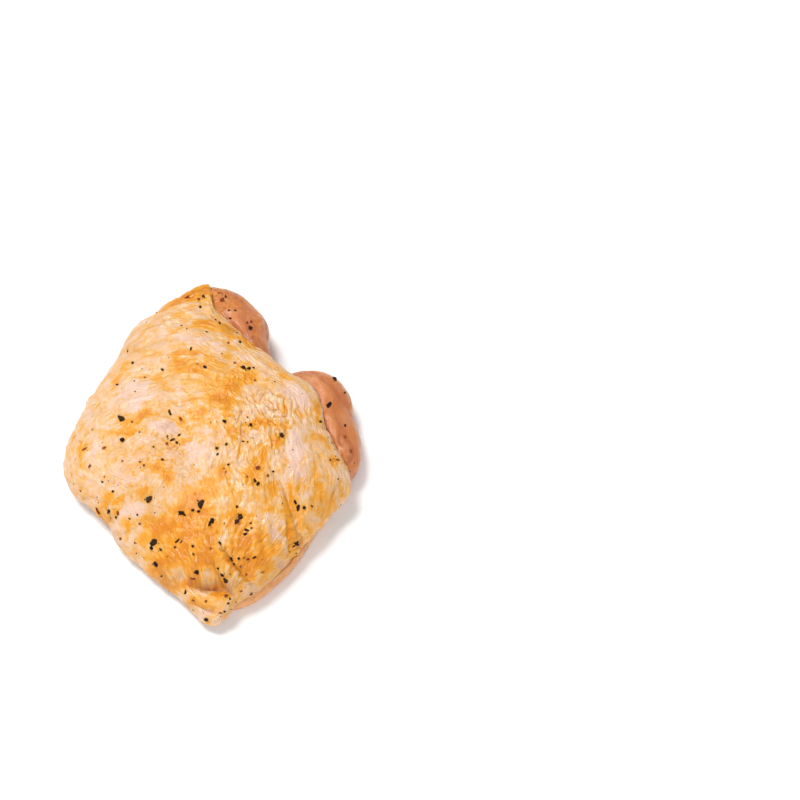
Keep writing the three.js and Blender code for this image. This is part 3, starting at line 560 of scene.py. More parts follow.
class Shader:
    """Adds nodes to a new material and links them up."""

    def __init__(self, name):
        self.material = bpy.data.materials.new(name)
        self.material.use_nodes = True
        self.tree = self.material.node_tree
        self.surface = self.tree.nodes["Principled BSDF"]
        self.place = self.tree.nodes.new("ShaderNodeTexCoord").outputs["Object"]

    def link(self, value, socket):
        """Links a socket to another, or sets it to a number or a colour."""
        if isinstance(value, bpy.types.NodeSocket):
            self.tree.links.new(value, socket)
        elif socket.type == "RGBA":
            socket.default_value = (*value[:3], 1)
        else:
            socket.default_value = value

    def attribute(self, name):
        """A number that is stored for each vertex."""
        made = self.tree.nodes.new("ShaderNodeAttribute")
        made.attribute_name = name
        return made.outputs["Fac"]

    def drawn_out(self, name, across, along):
        """Places of a stored flow, scaled so that a pattern on them has these sizes in millimetres."""
        field = self.tree.nodes.new("ShaderNodeAttribute")
        field.attribute_name = name
        turn = self.tree.nodes.new("ShaderNodeMapping")
        turn.inputs["Scale"].default_value = (1 / across, 1 / along, 0)
        self.link(field.outputs["Vector"], turn.inputs["Vector"])
        return turn.outputs["Vector"]

    def noise(self, size, detail, roughness, place=None):
        """Noise whose lumps are about the given size in metres."""
        made = self.tree.nodes.new("ShaderNodeTexNoise")
        self.link(place or self.place, made.inputs["Vector"])
        made.inputs["Scale"].default_value = 1 / size
        made.inputs["Detail"].default_value = detail
        made.inputs["Roughness"].default_value = roughness
        return made.outputs["Fac"]

    def along_flow(self, across, along, pattern):
        """A pattern drawn out along the wrinkles, summed over their fields; sizes in millimetres."""
        total = 0.0
        for name in FLOWS:
            found = pattern(self.drawn_out("flow_" + name, across, along))
            total = self.math("MULTIPLY_ADD", found, self.attribute("weight_" + name), total)
        return total

    def flow_noise(self, across, along, detail, roughness):
        """Noise drawn out along the wrinkles."""
        return self.along_flow(across, along, lambda place: self.noise(1, detail, roughness, place))

    def flow_cells(self, across, along, warp):
        """Rounded cells with creases between: 0 at their middles, towards 1 where they meet."""
        return self.along_flow(across, along, lambda place: self.cells(self.warped(place, warp)))

    def warped(self, place, amount):
        """A place moved about by noise, so that cells lose their straight sides."""
        made = self.tree.nodes.new("ShaderNodeTexNoise")
        self.link(place, made.inputs["Vector"])
        made.inputs["Scale"].default_value = WARP_SCALE
        made.inputs["Detail"].default_value = 2
        move = self.tree.nodes.new("ShaderNodeVectorMath")
        move.operation = "MULTIPLY_ADD"
        self.link(made.outputs["Color"], move.inputs[0])
        move.inputs[1].default_value = (amount, amount, 0)
        self.link(place, move.inputs[2])
        return move.outputs["Vector"]

    def cells(self, place):
        """Distance to the nearest of points scattered about one unit apart on a flat pattern."""
        made = self.tree.nodes.new("ShaderNodeTexVoronoi")
        made.voronoi_dimensions = "2D"
        self.link(place, made.inputs["Vector"])
        made.inputs["Scale"].default_value = 1
        return made.outputs["Distance"]

    def ramp(self, value, low, high):
        """0 below low, 1 above high, and a smooth way between. Low may be the larger."""
        made = self.tree.nodes.new("ShaderNodeMapRange")
        made.interpolation_type = "SMOOTHSTEP"
        self.link(value, made.inputs["Value"])
        flip = low > high
        made.inputs["From Min"].default_value = min(low, high)
        made.inputs["From Max"].default_value = max(low, high)
        made.inputs["To Min"].default_value = 1 if flip else 0
        made.inputs["To Max"].default_value = 0 if flip else 1
        return made.outputs["Result"]

    def math(self, kind, *values):
        """A sum of the given kind."""
        made = self.tree.nodes.new("ShaderNodeMath")
        made.operation = kind
        for value, socket in zip(values, made.inputs):
            self.link(value, socket)
        return made.outputs[0]

    def stirred(self, value, stir, amount):
        """A value moved up and down by a noise."""
        return self.math("MULTIPLY_ADD", self.math("SUBTRACT", stir, NOISE_MIDDLE), amount, value)

    def faint(self, value, low, high, most):
        """A ramp that ends at a share of 1."""
        return self.math("MULTIPLY", self.ramp(value, low, high), most)

    def mix(self, share, first, second):
        """The second colour laid over the first as far as the share says."""
        made = self.tree.nodes.new("ShaderNodeMix")
        made.data_type = "RGBA"
        self.link(share, made.inputs["Factor"])
        self.link(first, made.inputs[6])
        self.link(second, made.inputs[7])
        return made.outputs[2]

    def bump(self, height, distance, under=None):
        """A normal for fine relief of a height in metres, over another such normal."""
        made = self.tree.nodes.new("ShaderNodeBump")
        made.inputs["Distance"].default_value = distance
        self.link(height, made.inputs["Height"])
        if under is not None:
            self.link(under, made.inputs["Normal"])
        return made.outputs["Normal"]

    def set(self, **values):
        """Sets sockets of the surface shader by name, with spaces written as underscores."""
        for name, value in values.items():
            self.link(value, self.surface.inputs[name.replace("_", " ")])


def skin_material(look):
    """Wet raw skin: cream and rose, with marinade between bare pale flakes and in its creases, pale painted
    highlights on the flakes, and dark painted shade down in the creases.
    """
    shader = Shader("marinated chicken skin")
    sauce, relief, flake = (shader.attribute(name) for name in ("marinade", "relief", "flake"))
    streak = shader.flow_noise(1.5, 6, 3, 0.6)
    lines = shader.flow_noise(0.5, 5, 2, 0.6)
    cells = shader.flow_cells(1.5, 2.4, 0.9)
    mottle = shader.noise(0.0045, 4, 0.6)
    small = shader.noise(0.0011, 3, 0.6)
    colour = shader.mix(shader.ramp(mottle, 0.36, 0.64), look.cream, look.warm)
    # tan lays brown painted shade on the lower right side and in creases; rose and lavender are the skin's
    # own colours
    for mark in ("rose", "lavender", "tan"):
        colour = shader.mix(shader.attribute(mark), colour, getattr(look, mark))
    uneven = shader.stirred(shader.stirred(shader.stirred(sauce, streak, 1.3), mottle, 1.2), small, 0.8)
    colour = shader.mix(shader.ramp(uneven, 0.02, 0.38), colour, look.tint)
    colour = shader.mix(shader.ramp(uneven, 0.3, 0.65), colour, look.film)
    colour = shader.mix(shader.ramp(uneven, 0.55, 1.0), colour, look.marinade)
    colour = shader.mix(shader.ramp(uneven, 1.05, 1.7), colour, look.pool)
    # Pale painted highlights on raised cobbles, flakes and ridges, where the skin is also bare of marinade
    bare_and_highlight = shader.stirred(shader.stirred(flake, small, 0.9), streak, 0.9)
    colour = shader.mix(shader.faint(bare_and_highlight, 0.3, 0.95, 0.62), colour, look.bare_ridge_and_highlight)
    # Painted shade: the dark crease colour goes into the valleys of the fine lines, the wrinkles and the
    # creases, where the bump and the relief dip
    colour = shader.mix(shader.faint(lines, 0.47, 0.3, 0.16), colour, look.crease)
    colour = shader.mix(shader.faint(relief, -0.5, -1.6, 0.4), colour, look.crease)
    colour = shader.mix(shader.ramp(relief, -1.6, -3), colour, look.crease)
    height = shader.math("MULTIPLY_ADD", cells, -0.7, lines)
    normal = shader.bump(height, 0.0003)
    normal = shader.bump(shader.noise(0.0006, 2, 0.6), 0.00008, normal)
    shader.set(
        Base_Color=colour, Roughness=shader.ramp(small, 0.95, 0.1), Normal=normal, Coat_Normal=normal,
        Subsurface_Radius=(1.0, 0.45, 0.22), Subsurface_Scale=0.0011,
        Coat_Weight=0.65, Coat_Roughness=0.16, **WET,
    )
    return shader.material


def meat_material(look):
    """Raw meat: satin salmon brown, in bands and fibres along its strands, with fat and marinade, painted
    shade in its seams and recesses, and painted highlights and shade on its crust.
    """
    shader = Shader("raw chicken meat")
    band, fibre, film = (
        shader.noise(1, detail, roughness, shader.drawn_out("strands", across, along))
        for across, along, detail, roughness in ((5, 16, 2, 0.45), (0.45, 7, 2, 0.6), (2.2, 6, 4, 0.6))
    )
    mottle = shader.noise(0.0034, 4, 0.62)
    small = shader.noise(0.0013, 3, 0.6)
    crust, fat, groove = (shader.attribute(name) for name in ("coat", "fat", "groove"))
    colour = shader.mix(shader.ramp(band, 0.36, 0.66), look.salmon, look.pale)
    colour = shader.mix(shader.faint(fibre, 0.45, 0.7, 0.4), colour, look.pale)
    colour = shader.mix(shader.faint(film, 0.5, 0.7, 0.5), colour, look.fat)
    colour = shader.mix(shader.faint(film, 0.44, 0.3, 0.45), colour, look.deep)
    # Painted shade: the dark meat colour in the seams between bundles, in hollows and under the skin's edge
    colour = shader.mix(shader.math("MULTIPLY", groove, 0.6), colour, look.deep)
    colour = shader.mix(shader.attribute("deep"), colour, look.deep)
    colour = shader.mix(shader.faint(shader.stirred(fat, small, 1.2), 0.3, 0.75, 0.85), colour, look.fat)
    sauced = shader.stirred(crust, mottle, -2.4)
    colour = shader.mix(shader.ramp(sauced, 0.25, 0.7), colour, look.coat)
    colour = shader.mix(shader.faint(sauced, 0.9, 1.5, 0.8), colour, look.marinade)
    # Painted highlights on the crust's bumps and painted shade between them, from the same noise that gives
    # its bump
    pale, dark = shader.faint(small, 0.52, 0.68, crust), shader.faint(small, 0.42, 0.28, crust)
    colour = shader.mix(shader.math("MULTIPLY", pale, 0.75), colour, look.fat)
    colour = shader.mix(shader.math("MULTIPLY", dark, 0.8), colour, look.deep)
    edge = shader.mix(shader.ramp(mottle, 0.4, 0.62), look.rim_fat, look.rim_warm)
    colour = shader.mix(shader.attribute("rim_fat"), colour, edge)
    normal = shader.bump(shader.math("MULTIPLY", small, shader.math("MAXIMUM", crust, fat)), 0.0008)
    normal = shader.bump(fibre, 0.00022, normal)
    normal = shader.bump(shader.noise(0.0007, 2, 0.6), 0.00005, normal)
    shader.set(
        Base_Color=colour, Roughness=shader.ramp(mottle, 0.95, 0.1), Normal=normal, Coat_Normal=normal,
        Subsurface_Radius=(1.0, 0.36, 0.2), Subsurface_Scale=0.0025,
        Coat_Weight=0.5, Coat_Roughness=0.2, **WET,
    )
    return shader.material


def grain_material(name, dark, light, roughness):
    """Cracked grains: dark husk and paler broken faces, by each grain's own shade."""
    shader = Shader(name)
    speck = shader.noise(0.0005, 3, 0.7)
    share = shader.math("MULTIPLY", shader.attribute("shade"), shader.ramp(speck, 0.3, 0.7))
    colour = shader.mix(share, dark, light)
    shader.set(
        Base_Color=colour, Roughness=roughness, Normal=shader.bump(speck, 0.0001), Specular_IOR_Level=0.08,
        Coat_Weight=0.04, Coat_Roughness=0.1,
    )
    return shader.material


# Skin

NUB = (-4, 74)  # the skin's thick back corner
RIM_ANGLE = math.radians(150)  # where on the ball the skin's outer face ends and its lining begins
UNROLLED = 1.12  # length of the skin's section by its plan reach
FLOWS = ("main", "front", "left", "side")
FLOW_CENTRE = (-18, -40)  # most wrinkles lie on circles round this place
TIP = (4, -84)  # those at the front run towards this one
RING_RADIUS, FAN_RADIUS, RIM_RADIUS = 70, 48, 52  # turn angles round those and the rim into millimetres
NUB_THICKER, NUB_DROP = 1.2, 1.1  # how much thicker the skin is at its back corner, and how far that droops
CRUST_THICKER, CRUST_FROM = 0.9, 40  # dried crust behind this place thickens the skin
# DEEP_CREASE sets how deep a crease must be to get the full painted shade
DEEP_CREASE = 3  # a crease this deep is fully dark
LINING_RELIEF, RIM_RELIEF = 0.25, 0.35  # share of the relief that shows on the lining, and at the rim

# Noises over the unrolled skin, in layers: seed, size of the lumps, height
LUMPS = ((44, 8, 1), (45, 3.6, 0.5))  # soft unevenness between the folds
MIST = ((54, 6, 0.7), (55, 2.5, 0.3))  # breaks up the edges of the coloured patches
BLOTCH = ((51, 5, 0.5), (52, 2.2, 0.35), (53, 1, 0.2))  # breaks up the marinade


def ridges(seed, across, along, spacing, length, sharpness=1.0):
    """Long ridges from 0 to 1 on a flat coordinate pair."""
    return (1 - np.abs(grain(seed, 1, across / spacing, along / length))) ** (1 + sharpness)


def flow_fields(flat, x, y, rim_gap, bearing):
    """For each way that wrinkles run: places across and along them in millimetres, and its weight."""
    u, v = flat
    u, v = (
        u + 2.2 * grain(31, 13, u, v) + 0.7 * grain(32, 5, u, v),
        v + 2.2 * grain(33, 13, u, v) + 0.7 * grain(34, 5, u, v),
    )
    knob = smoothstep(-59, -63.5, y + 0.25 * x)
    front = smoothstep(-24, -46, y) * (1 - knob)
    left = smoothstep(-32, -44, x) * smoothstep(-32, -22, y) * smoothstep(36, 22, y) + knob
    side = smoothstep(-12, 12, x + 5 * grain(36, 11, u, v)) * (1 - front - knob) * smoothstep(32, 10, y)
    ring = np.hypot(u - FLOW_CENTRE[0], v - FLOW_CENTRE[1])
    sweep = np.arctan2(v - FLOW_CENTRE[1], u - FLOW_CENTRE[0]) * RING_RADIUS
    fan = np.arctan2(u - TIP[0], v - TIP[1]) * FAN_RADIUS
    fall = np.hypot(u - TIP[0], v - TIP[1])
    return {
        "main": (ring, sweep, (1 - front) * (1 - left) * (1 - side)),
        "front": (fan, fall, front),
        "left": (rim_gap + 0.8 * grain(35, 9, u, v), np.mod(bearing, 2 * math.pi) * RIM_RADIUS, left),
        "side": (u + 0.12 * v, v, side),
    }


def cobbles(seed, across, along, breadth, length):
    """Rounded cobbles from 0 to 1, with narrow creases between, on a flat coordinate pair."""
    return np.clip(1.9 * np.abs(grain(seed, 1, across / breadth, along / length)), 0, 1) ** 0.6


def skin_relief(fields, spacing):
    """Height of the long wrinkles, about -1 to 1, and of the cobbles, 0 to 1."""
    long_, round_ = 0, 0
    for seed, (across, along, weight) in enumerate(fields.values(), 11):
        wide = ridges(3 * seed, across, along, 2.2 * spacing, 12 * spacing)
        narrow = ridges(3 * seed + 1, across, along, 1.2 * spacing, 7 * spacing)
        soft = grain(3 * seed + 2, 1, across / (4.2 * spacing), along / (9 * spacing))
        long_ = long_ + weight * (0.9 * (wide - 0.55) + 0.5 * (narrow - 0.55) + 0.9 * soft)
        large = cobbles(100 + seed, across, along, 2.9 * spacing, 5.2 * spacing)
        small = cobbles(110 + seed, across, along, 1.5 * spacing, 2.6 * spacing)
        round_ = round_ + weight * (0.65 * large + 0.35 * small)
    return long_, round_


def near_nub(x, y):
    """Distance from the skin's back corner."""
    return np.hypot(x - NUB[0], y - NUB[1])


def skin_marks(x, y, flat, cobble):
    """How strong each kind of mark is over the skin, from 0 to 1."""
    mist = layered(MIST, *flat)
    rose = smoothstep(0.25, 0.8, ovals(x, y, ROSE) + 0.55 * mist)
    bare_and_highlight, cobbled, crust = (np.clip(ovals(x, y, spots), 0, 1) for spots in (BARE_AND_HIGHLIGHT, FLAKES, CRUST))
    u, v = flat
    torn = smoothstep(0.2, 1, 0.9 * bare_and_highlight + 0.6 * (cobble - 0.7) + 0.4 * grain(49, 1, u / 1.5, v / 2.4))
    spread = 0.1 + 0.4 * cobbled + 0.45 * grain(48, 7, u, v) - 0.4 * rose
    return SimpleNamespace(
        rose=rose,
        lavender=smoothstep(0.3, 0.8, ovals(x, y, LAVENDER) * (1 + 0.5 * mist)),
        # Brown painted shade on the lower right side and in creases
        tan=smoothstep(0.2, 0.9, ovals(x, y, TAN_SHADE) + 0.4 * mist),
        cobbled=cobbled,
        crust=crust,
        torn=torn,
        # Paler on the tops of the cobbles: bare skin and painted highlight together
        flake=np.maximum(smoothstep(0.6, 0.92, cobble) * np.clip(spread, 0, 1), torn),
    )


def fine_relief(marks, wrinkle, cobble, flat):
    """Height of the wrinkles, cobbles, torn flakes and crust together, in heights of a full wrinkle."""
    patchy = 0.5 + 0.5 * grain(43, 9, *flat)
    relief = wrinkle * np.clip(patchy, 0.2, 1) * (1 - 0.5 * marks.cobbled)
    relief += (0.7 + 1.1 * marks.cobbled) * (cobble - 0.7)
    relief *= (1 - 0.5 * marks.rose) * (1 - 0.5 * marks.lavender)
    relief += 0.3 * marks.torn
    relief += marks.crust * (1.6 * np.abs(grain(46, 2.6, *flat)) + np.abs(grain(47, 1.4, *flat)) - 0.8)
    return relief


def skin_depth(thickness, edge, marks, x, y, bearing, rim_gap, outer):
    """Depth below the smooth outer face: of the face where its rim rounds off, and of the lining."""
    on_meat = smoothstep(-1.45, -1.25, bearing) * smoothstep(1.7, 1.6, bearing)  # at the right and the back
    full = thickness + (edge - thickness) * on_meat * smoothstep(12, 3, rim_gap)
    full = full + CRUST_THICKER * marks.crust * (y > CRUST_FROM)
    full = full + NUB_THICKER * smoothstep(9, 3, near_nub(x, y))
    lip = np.clip(rim_gap / (0.6 * full), 0, 1)
    here = full * np.sqrt(1 - (1 - lip) ** 2)
    return (full - here) / 2 + np.where(outer, 0, here)


def close_creases(places):
    """Leans the lips of the creases over their valleys."""
    for line, width, _, closing in FOLDS + FINE_FOLDS:
        if closing:
            distance, share, toward = near_line(places[:, 0], places[:, 1], line)
            pull = closing * (distance / width) * np.exp(1 - distance / width) * fold_fade(share)
            places[:, :2] += (toward * pull).T


def crease_depth(x, y):
    """Depth of the creases at each place, as a share of a deep one, and a little below 0 on raised folds; it
    sets how much painted shade the creases get.
    """
    depth = np.zeros(x.shape)
    for line, width, height, _ in FOLDS + FINE_FOLDS:
        distance, share, _ = near_line(x, y, line)
        amount = min(-height, DEEP_CREASE) / DEEP_CREASE if height < 0 else -0.12 * height
        depth += amount * fold_fade(share) * np.exp(-((distance / (0.55 * width)) ** 2))
    return depth


def marinade_amount(marks, wrinkle, cobble, x, y, flat):
    """How thick the marinade lies: about 0 where there is none, and above 1 where it pools."""
    blotch = layered(BLOTCH, *flat)
    sauce = 0.2 + 1.25 * ovals(x, y, MARINADE) * (1 + blotch) + 0.5 * blotch - 0.3 * marks.torn
    sauce -= (0.35 + 0.35 * marks.cobbled) * (cobble - 0.62) + 0.2 * wrinkle * (1 - 0.5 * marks.rose)
    sauce += 0.35 * marks.crust - 0.3 * marks.rose - 0.3 * marks.lavender
    for at_x, at_y, length, _, _ in LARGE_PEPPER + SPICE:
        near = np.hypot(x - at_x, y - at_y)
        sauce += 0.4 * np.exp(-((near / (0.9 * length)) ** 2)) * min(1, length / 2)
    return np.clip(sauce, -0.4, 1.7)


class SkinPiece(bpy.types.Operator):
    """Makes the skin: a thin sheet with folds, wrinkles, marinade and a rounded rim"""

    bl_idname = "steak.skin"
    bl_label = "Skin"

    def execute(self, context):
        size, look = context.scene.steak_skin, context.scene.steak_colours
        shape, polar, bearing = ball(size.cuts)
        outer = polar <= RIM_ANGLE
        along = np.where(outer, polar / RIM_ANGLE, (math.pi - polar) / (math.pi - RIM_ANGLE))
        face = skin_face(along, bearing)
        normal = face_normals(skin_face, along, bearing)
        x, y = face[:, 0], face[:, 1]
        rim_gap = (1 - along) * skin_rim.at(bearing)[0] * UNROLLED
        flat = along * skin_rim.at(bearing, 0)[0] * UNROLLED * np.stack([np.cos(bearing), np.sin(bearing)])

        fields = flow_fields(flat, x, y, rim_gap, bearing)
        wrinkle, cobble = skin_relief(fields, size.wrinkle_spacing / MM)
        marks = skin_marks(x, y, flat, cobble)
        relief = fine_relief(marks, wrinkle, cobble, flat)
        fade = np.where(outer, 1, LINING_RELIEF) * (RIM_RELIEF + (1 - RIM_RELIEF) * smoothstep(0, 3, rim_gap))
        rise = (relief * size.wrinkle_height / MM + layered(LUMPS, *flat) * size.lump_height / MM) * fade
        sheet = size.thickness / MM, size.edge_thickness / MM
        places = face + normal * (rise - skin_depth(*sheet, marks, x, y, bearing, rim_gap, outer))[:, None]
        places[:, 2] -= NUB_DROP * smoothstep(7, 0, near_nub(x, y))
        close_creases(places)

        move_vertices(shape, finished_places(places))
        piece = new_object("skin_sheet", shape, skin_material(look), context)
        for name, values in (
            ("marinade", marinade_amount(marks, wrinkle, cobble, x, y, flat)),
            # Sets the painted shade: dark where the relief dips and in the creases
            ("relief", relief * 1.6 - 1.5 * crease_depth(x, y)),
            ("flake", marks.flake),
            ("rose", 0.9 * marks.rose),
            ("lavender", 0.7 * marks.lavender),
            # Brown painted shade
            ("tan", 0.8 * marks.tan),
        ):
            store(piece.data, name, values)
        for name, (across, run, weight) in fields.items():
            store(piece.data, "weight_" + name, weight)
            store_flow(piece.data, "flow_" + name, across, run)
        finish_piece(piece, "skin")
        return {"FINISHED"}


# Meat

# Marinade, beads of fat, and painted shade in recesses of the meat, as soft ovals
COAT = [(2.5, 66, 7, 6, -20, 1.1), (16, 47, 3, 6, 0, 0.3), (47, -8, 7, 6, 0, 0.3), (50, 10, 3, 16, 0, 0.2)]
FAT = [
    (47, -8, 5, 4, 0, 0.9), (49, -3, 3, 3, 0, 0.7), (5, 68, 3, 2.5, -30, 0.9), (0, 64, 2, 2, 0, 0.6),
    (17.5, 57, 1.4, 5, 20, 0.6), (44, 30, 4, 3, 0, 0.3),
]
SHADED_HOLLOWS = [(24, 36, 6, 5, 0, 1), (8, 58, 5, 3, -50, 0.5), (46, 2, 3, 8, 0, 0.5), (20, 44, 4, 8, 0, 0.6)]

PRESS = 0.8  # how far the soft meat is pressed flat where it lies
HIGHEST = 40  # above any meat, so that the skin alone limits the slab's top
SLAB_ROUND, SLAB_POWER = 0.8, 5  # how squarely the slab turns at its rim, in plan and in height
ROLL_ROUND, ROLL_STEPS = 40, 180  # divisions round the thick edge and along it
ROLL_RADIUS, ROLL_LENGTH = 9, 190  # turn its angles and its shares into millimetres
LUMP_HEIGHT = 0.55
MEAT_LUMPS = ((63, 10, 1), (67, 4, 0.4))  # seed, size, share of that height
RIM_STEP, FRONT_LIFT, CORNER_LIFT = 0.4, 0.6, 0.9  # the meat's top below the skin's rim, and less so there
SETTLING = 8  # rounds in which a place's share of the way to the rim settles


def under_skin(x, y, gap):
    """The greatest height that the meat may have at a place: below the skin, and a step down at its rim."""
    bearing, reach = np.arctan2(y, x), np.hypot(x, y)
    share = np.ones(x.shape)
    for _ in range(SETTLING):
        rim_reach, rim_height = skin_rim.at(bearing, share)
        share = np.clip(reach / (rim_reach - gap), 0, 1)
    front_right = smoothstep(-1.4, -1.2, bearing) * smoothstep(-0.3, -0.5, bearing)
    back_corner = np.exp(-(((x - NUB[0]) / 9) ** 2) - ((y - NUB[1]) / 12) ** 2)
    level = rim_height - RIM_STEP + FRONT_LIFT * front_right + CORNER_LIFT * back_corner
    top = np.maximum(skin_top(x, y) - gap, level)
    inside = level + (top - level) * np.sqrt(1 - share**EDGE_POWER)
    past = np.maximum(reach - rim_reach, 0)
    outside = level + 2.2 * np.sqrt(past + 1e-6)
    return np.where(reach < rim_reach, inside, outside)


def meat_slab(cuts, gap):
    """The slab of meat under the skin, as a bmesh in working millimetres."""
    shape, polar, bearing = ball(cuts)
    upper = polar <= math.pi / 2
    share = np.sin(np.where(upper, polar, math.pi - polar)) ** SLAB_ROUND
    reach, height = meat_rim.at(bearing)
    x, y = share * reach * np.cos(bearing), share * reach * np.sin(bearing)
    level = np.sqrt(np.clip(1 - share**SLAB_POWER, 0, 1))
    top = np.minimum(height + (HIGHEST - height) * level, under_skin(x, y, gap))
    seams = np.zeros(x.shape)
    for line, width, rise in UNDER_SEAMS:
        distance, along, _ = near_line(x, y, line)
        seams += rise * fold_fade(along) * np.exp(-((distance / width) ** 2))
    under = np.maximum(0, height - (height + PRESS) * level) + np.maximum(0, seams - 0.15)
    move_vertices(shape, np.stack([x, y, np.where(upper, top, under)], axis=1))
    return shape


def meat_edge():
    """The thick edge of meat past the skin, as a bmesh in working millimetres."""
    shape = bmesh.new()
    bmesh.ops.create_uvsphere(shape, u_segments=ROLL_ROUND, v_segments=ROLL_STEPS, radius=1)
    polar, around = angles(np.array([v.co for v in shape.verts]))
    along = polar / math.pi
    path = smooth_line(EDGE_ROLL, 20, False)
    place = np.linspace(0, 1, len(path))
    core = np.stack([np.interp(along, place, path[:, k]) for k in range(5)], axis=1)
    lead = np.gradient(path[:, :2], axis=0)
    lead = np.stack([np.interp(along, place, lead[:, k]) for k in range(2)], axis=1)
    lead /= np.linalg.norm(lead, axis=1, keepdims=True)
    from_end = np.clip(np.minimum(along, 1 - along) / ROLL_END, 0, 1)
    size = np.sqrt(1 - (1 - from_end) ** 2)
    for at, width, bite in ROLL_SEAMS:
        size *= 1 - bite * np.exp(-(((along - at) / width) ** 2))
    outward = core[:, 3] * size * np.cos(around)
    x = core[:, 0] + lead[:, 1] * outward
    y = core[:, 1] - lead[:, 0] * outward
    z = np.maximum(0, core[:, 2] + core[:, 4] * size * np.sin(around) - PRESS)
    move_vertices(shape, np.stack([x, y, z], axis=1))
    bmesh.ops.recalc_face_normals(shape, faces=shape.faces[:])
    return shape


def strand_places(x, y, z):
    """Places round and along the bundles of meat, in millimetres, for arrays of places."""
    path = smooth_line(EDGE_ROLL, 4, False)
    distance, along, way = near_line(x, y, [tuple(point[:2]) for point in path])
    place = np.linspace(0, 1, len(path))
    core_z = np.interp(along, place, path[:, 2])
    lead = np.gradient(path[:, :2], axis=0)
    side_x, side_y = np.interp(along, place, lead[:, 1]), -np.interp(along, place, lead[:, 0])
    outward = -np.sign(way[0] * side_x + way[1] * side_y) * distance
    on_roll = smoothstep(17, 12, distance)
    round_roll = np.arctan2(z - core_z, outward + 1e-6) * ROLL_RADIUS
    run = np.arctan2(y, x) * RIM_RADIUS
    return on_roll * round_roll + (1 - on_roll) * z, on_roll * along * ROLL_LENGTH + (1 - on_roll) * run


def joined_meat(slab, edge, fineness, material, context):
    """The slab and the edge as one piece with even facets, still in working millimetres."""
    parts = bpy.data.meshes.new("meat_parts")
    edge.to_mesh(parts)
    slab.from_mesh(parts)
    edge.free()
    bpy.data.meshes.remove(parts)
    piece = new_object("meat_body", slab, material, context)
    remesh = piece.modifiers.new("join", "REMESH")
    remesh.mode = "VOXEL"
    remesh.voxel_size = fineness
    remesh.use_smooth_shade = True
    joined = bpy.data.meshes.new_from_object(piece.evaluated_get(context.evaluated_depsgraph_get()))
    piece.modifiers.clear()
    parts, piece.data = piece.data, joined
    bpy.data.meshes.remove(parts)
    joined.name = "meat_body"
    return piece


class MeatPiece(bpy.types.Operator):
    """Makes the meat: a flat-based slab and its bulging edge, joined in one soft body"""

    bl_idname = "steak.meat"
    bl_label = "Meat"

    def execute(self, context):
        size, look = context.scene.steak_meat, context.scene.steak_colours
        gap = size.skin_gap / MM
        slab, material = meat_slab(size.cuts, gap), meat_material(look)
        piece = joined_meat(slab, meat_edge(), size.voxel / MM, material, context)
        mesh = piece.data
        places, normal = read_vertices(mesh, "co"), read_vertices(mesh, "normal")
        x, y, z = places.T
        above = smoothstep(0.3, 3, z)
        round_, run = strand_places(x, y, z)
        round_ = round_ + 1.6 * grain(60, 8, x, y, z)
        bundle = ridges(61, round_, run, 7, 42, 7)
        strand = ridges(62, round_, run, 1.7, 14)
        fatty = np.clip(ovals(x, y, FAT), 0, 1) * smoothstep(3, 8, z)
        crusty = np.clip(ovals(x, y, COAT) * (1 + 0.6 * grain(65, 4, x, y, z)), 0, 1)
        beads = np.abs(grain(64, 2.4, x, y, z)) + 0.5 * np.abs(grain(68, 1.3, x, y, z))
        rise = size.bundle / MM * (0.2 - bundle) + size.strand / MM * (0.5 - strand)
        rise = (rise + LUMP_HEIGHT * layered(MEAT_LUMPS, x, y, z)) * above
        rise -= (1.9 * fatty + 1.5 * crusty) * (beads - 0.4) * above
        places = places + normal * rise[:, None]
        limit = under_skin(places[:, 0], places[:, 1], gap)
        places[:, 2] = np.clip(np.minimum(places[:, 2], limit), 0, None)
        write_places(mesh, finished_places(places))
        near_rim = skin_rim.at(np.arctan2(y, x))[0] - np.hypot(x, y)
        lobes = smoothstep(-18, -8, y)
        store(mesh, "rim_fat", (1 - lobes) * (1 - 0.4 * smoothstep(4, 1, z)))
        store(mesh, "coat", crusty)
        # Seams between bundles, which get painted shade
        store(mesh, "groove", bundle)
        store_flow(mesh, "strands", round_, run)
        store(mesh, "fat", np.clip(fatty * (0.6 + 0.8 * grain(66, 3, x, y, z)), 0, 1))
        # Painted shade in hollows of the meat and where it runs under the skin's edge
        hollow_shade = np.clip(ovals(x, y, SHADED_HOLLOWS), 0, 1) * smoothstep(18, 8, z)
        store(mesh, "deep", np.clip(hollow_shade + smoothstep(-2.5, 0.5, near_rim) * 0.5, 0, 1) * lobes)
        finish_piece(piece, "meat")
        return {"FINISHED"}


# Pepper and spice

GROWN = (1.22, 1.28)  # makes up for what cracking takes off a grain's length and breadth
LARGE = 1.3  # grains longer than this have finer facets, more cracks and at times a crumb beside them
RIM_CLEAR = 1.6  # a grain keeps this far inside the skin's rim
FURTHER = (0, 1.5, 3)  # how much further in a place is looked for, in turn
SIGHT = 0.1  # height in metres from which places are looked for
LUMPY, RAGGED_GRAIN = 0.34, 0.03  # how uneven a grain is, softly and from facet to facet, by its length
CRACK_AT = (0.2, 0.4)  # how far from its middle a grain is broken off, by its length
CRACK_FLAT = 0.92  # how flat the broken face is


def surface_tree(pieces):
    """A tree for finding places on finished pieces."""
    points, faces = [], []
    for piece in pieces:
        base = len(points)
        points += [v.co.copy() for v in piece.data.vertices]
        faces += [tuple(base + i for i in p.vertices) for p in piece.data.polygons]
    return BVHTree.FromPolygons(points, faces)


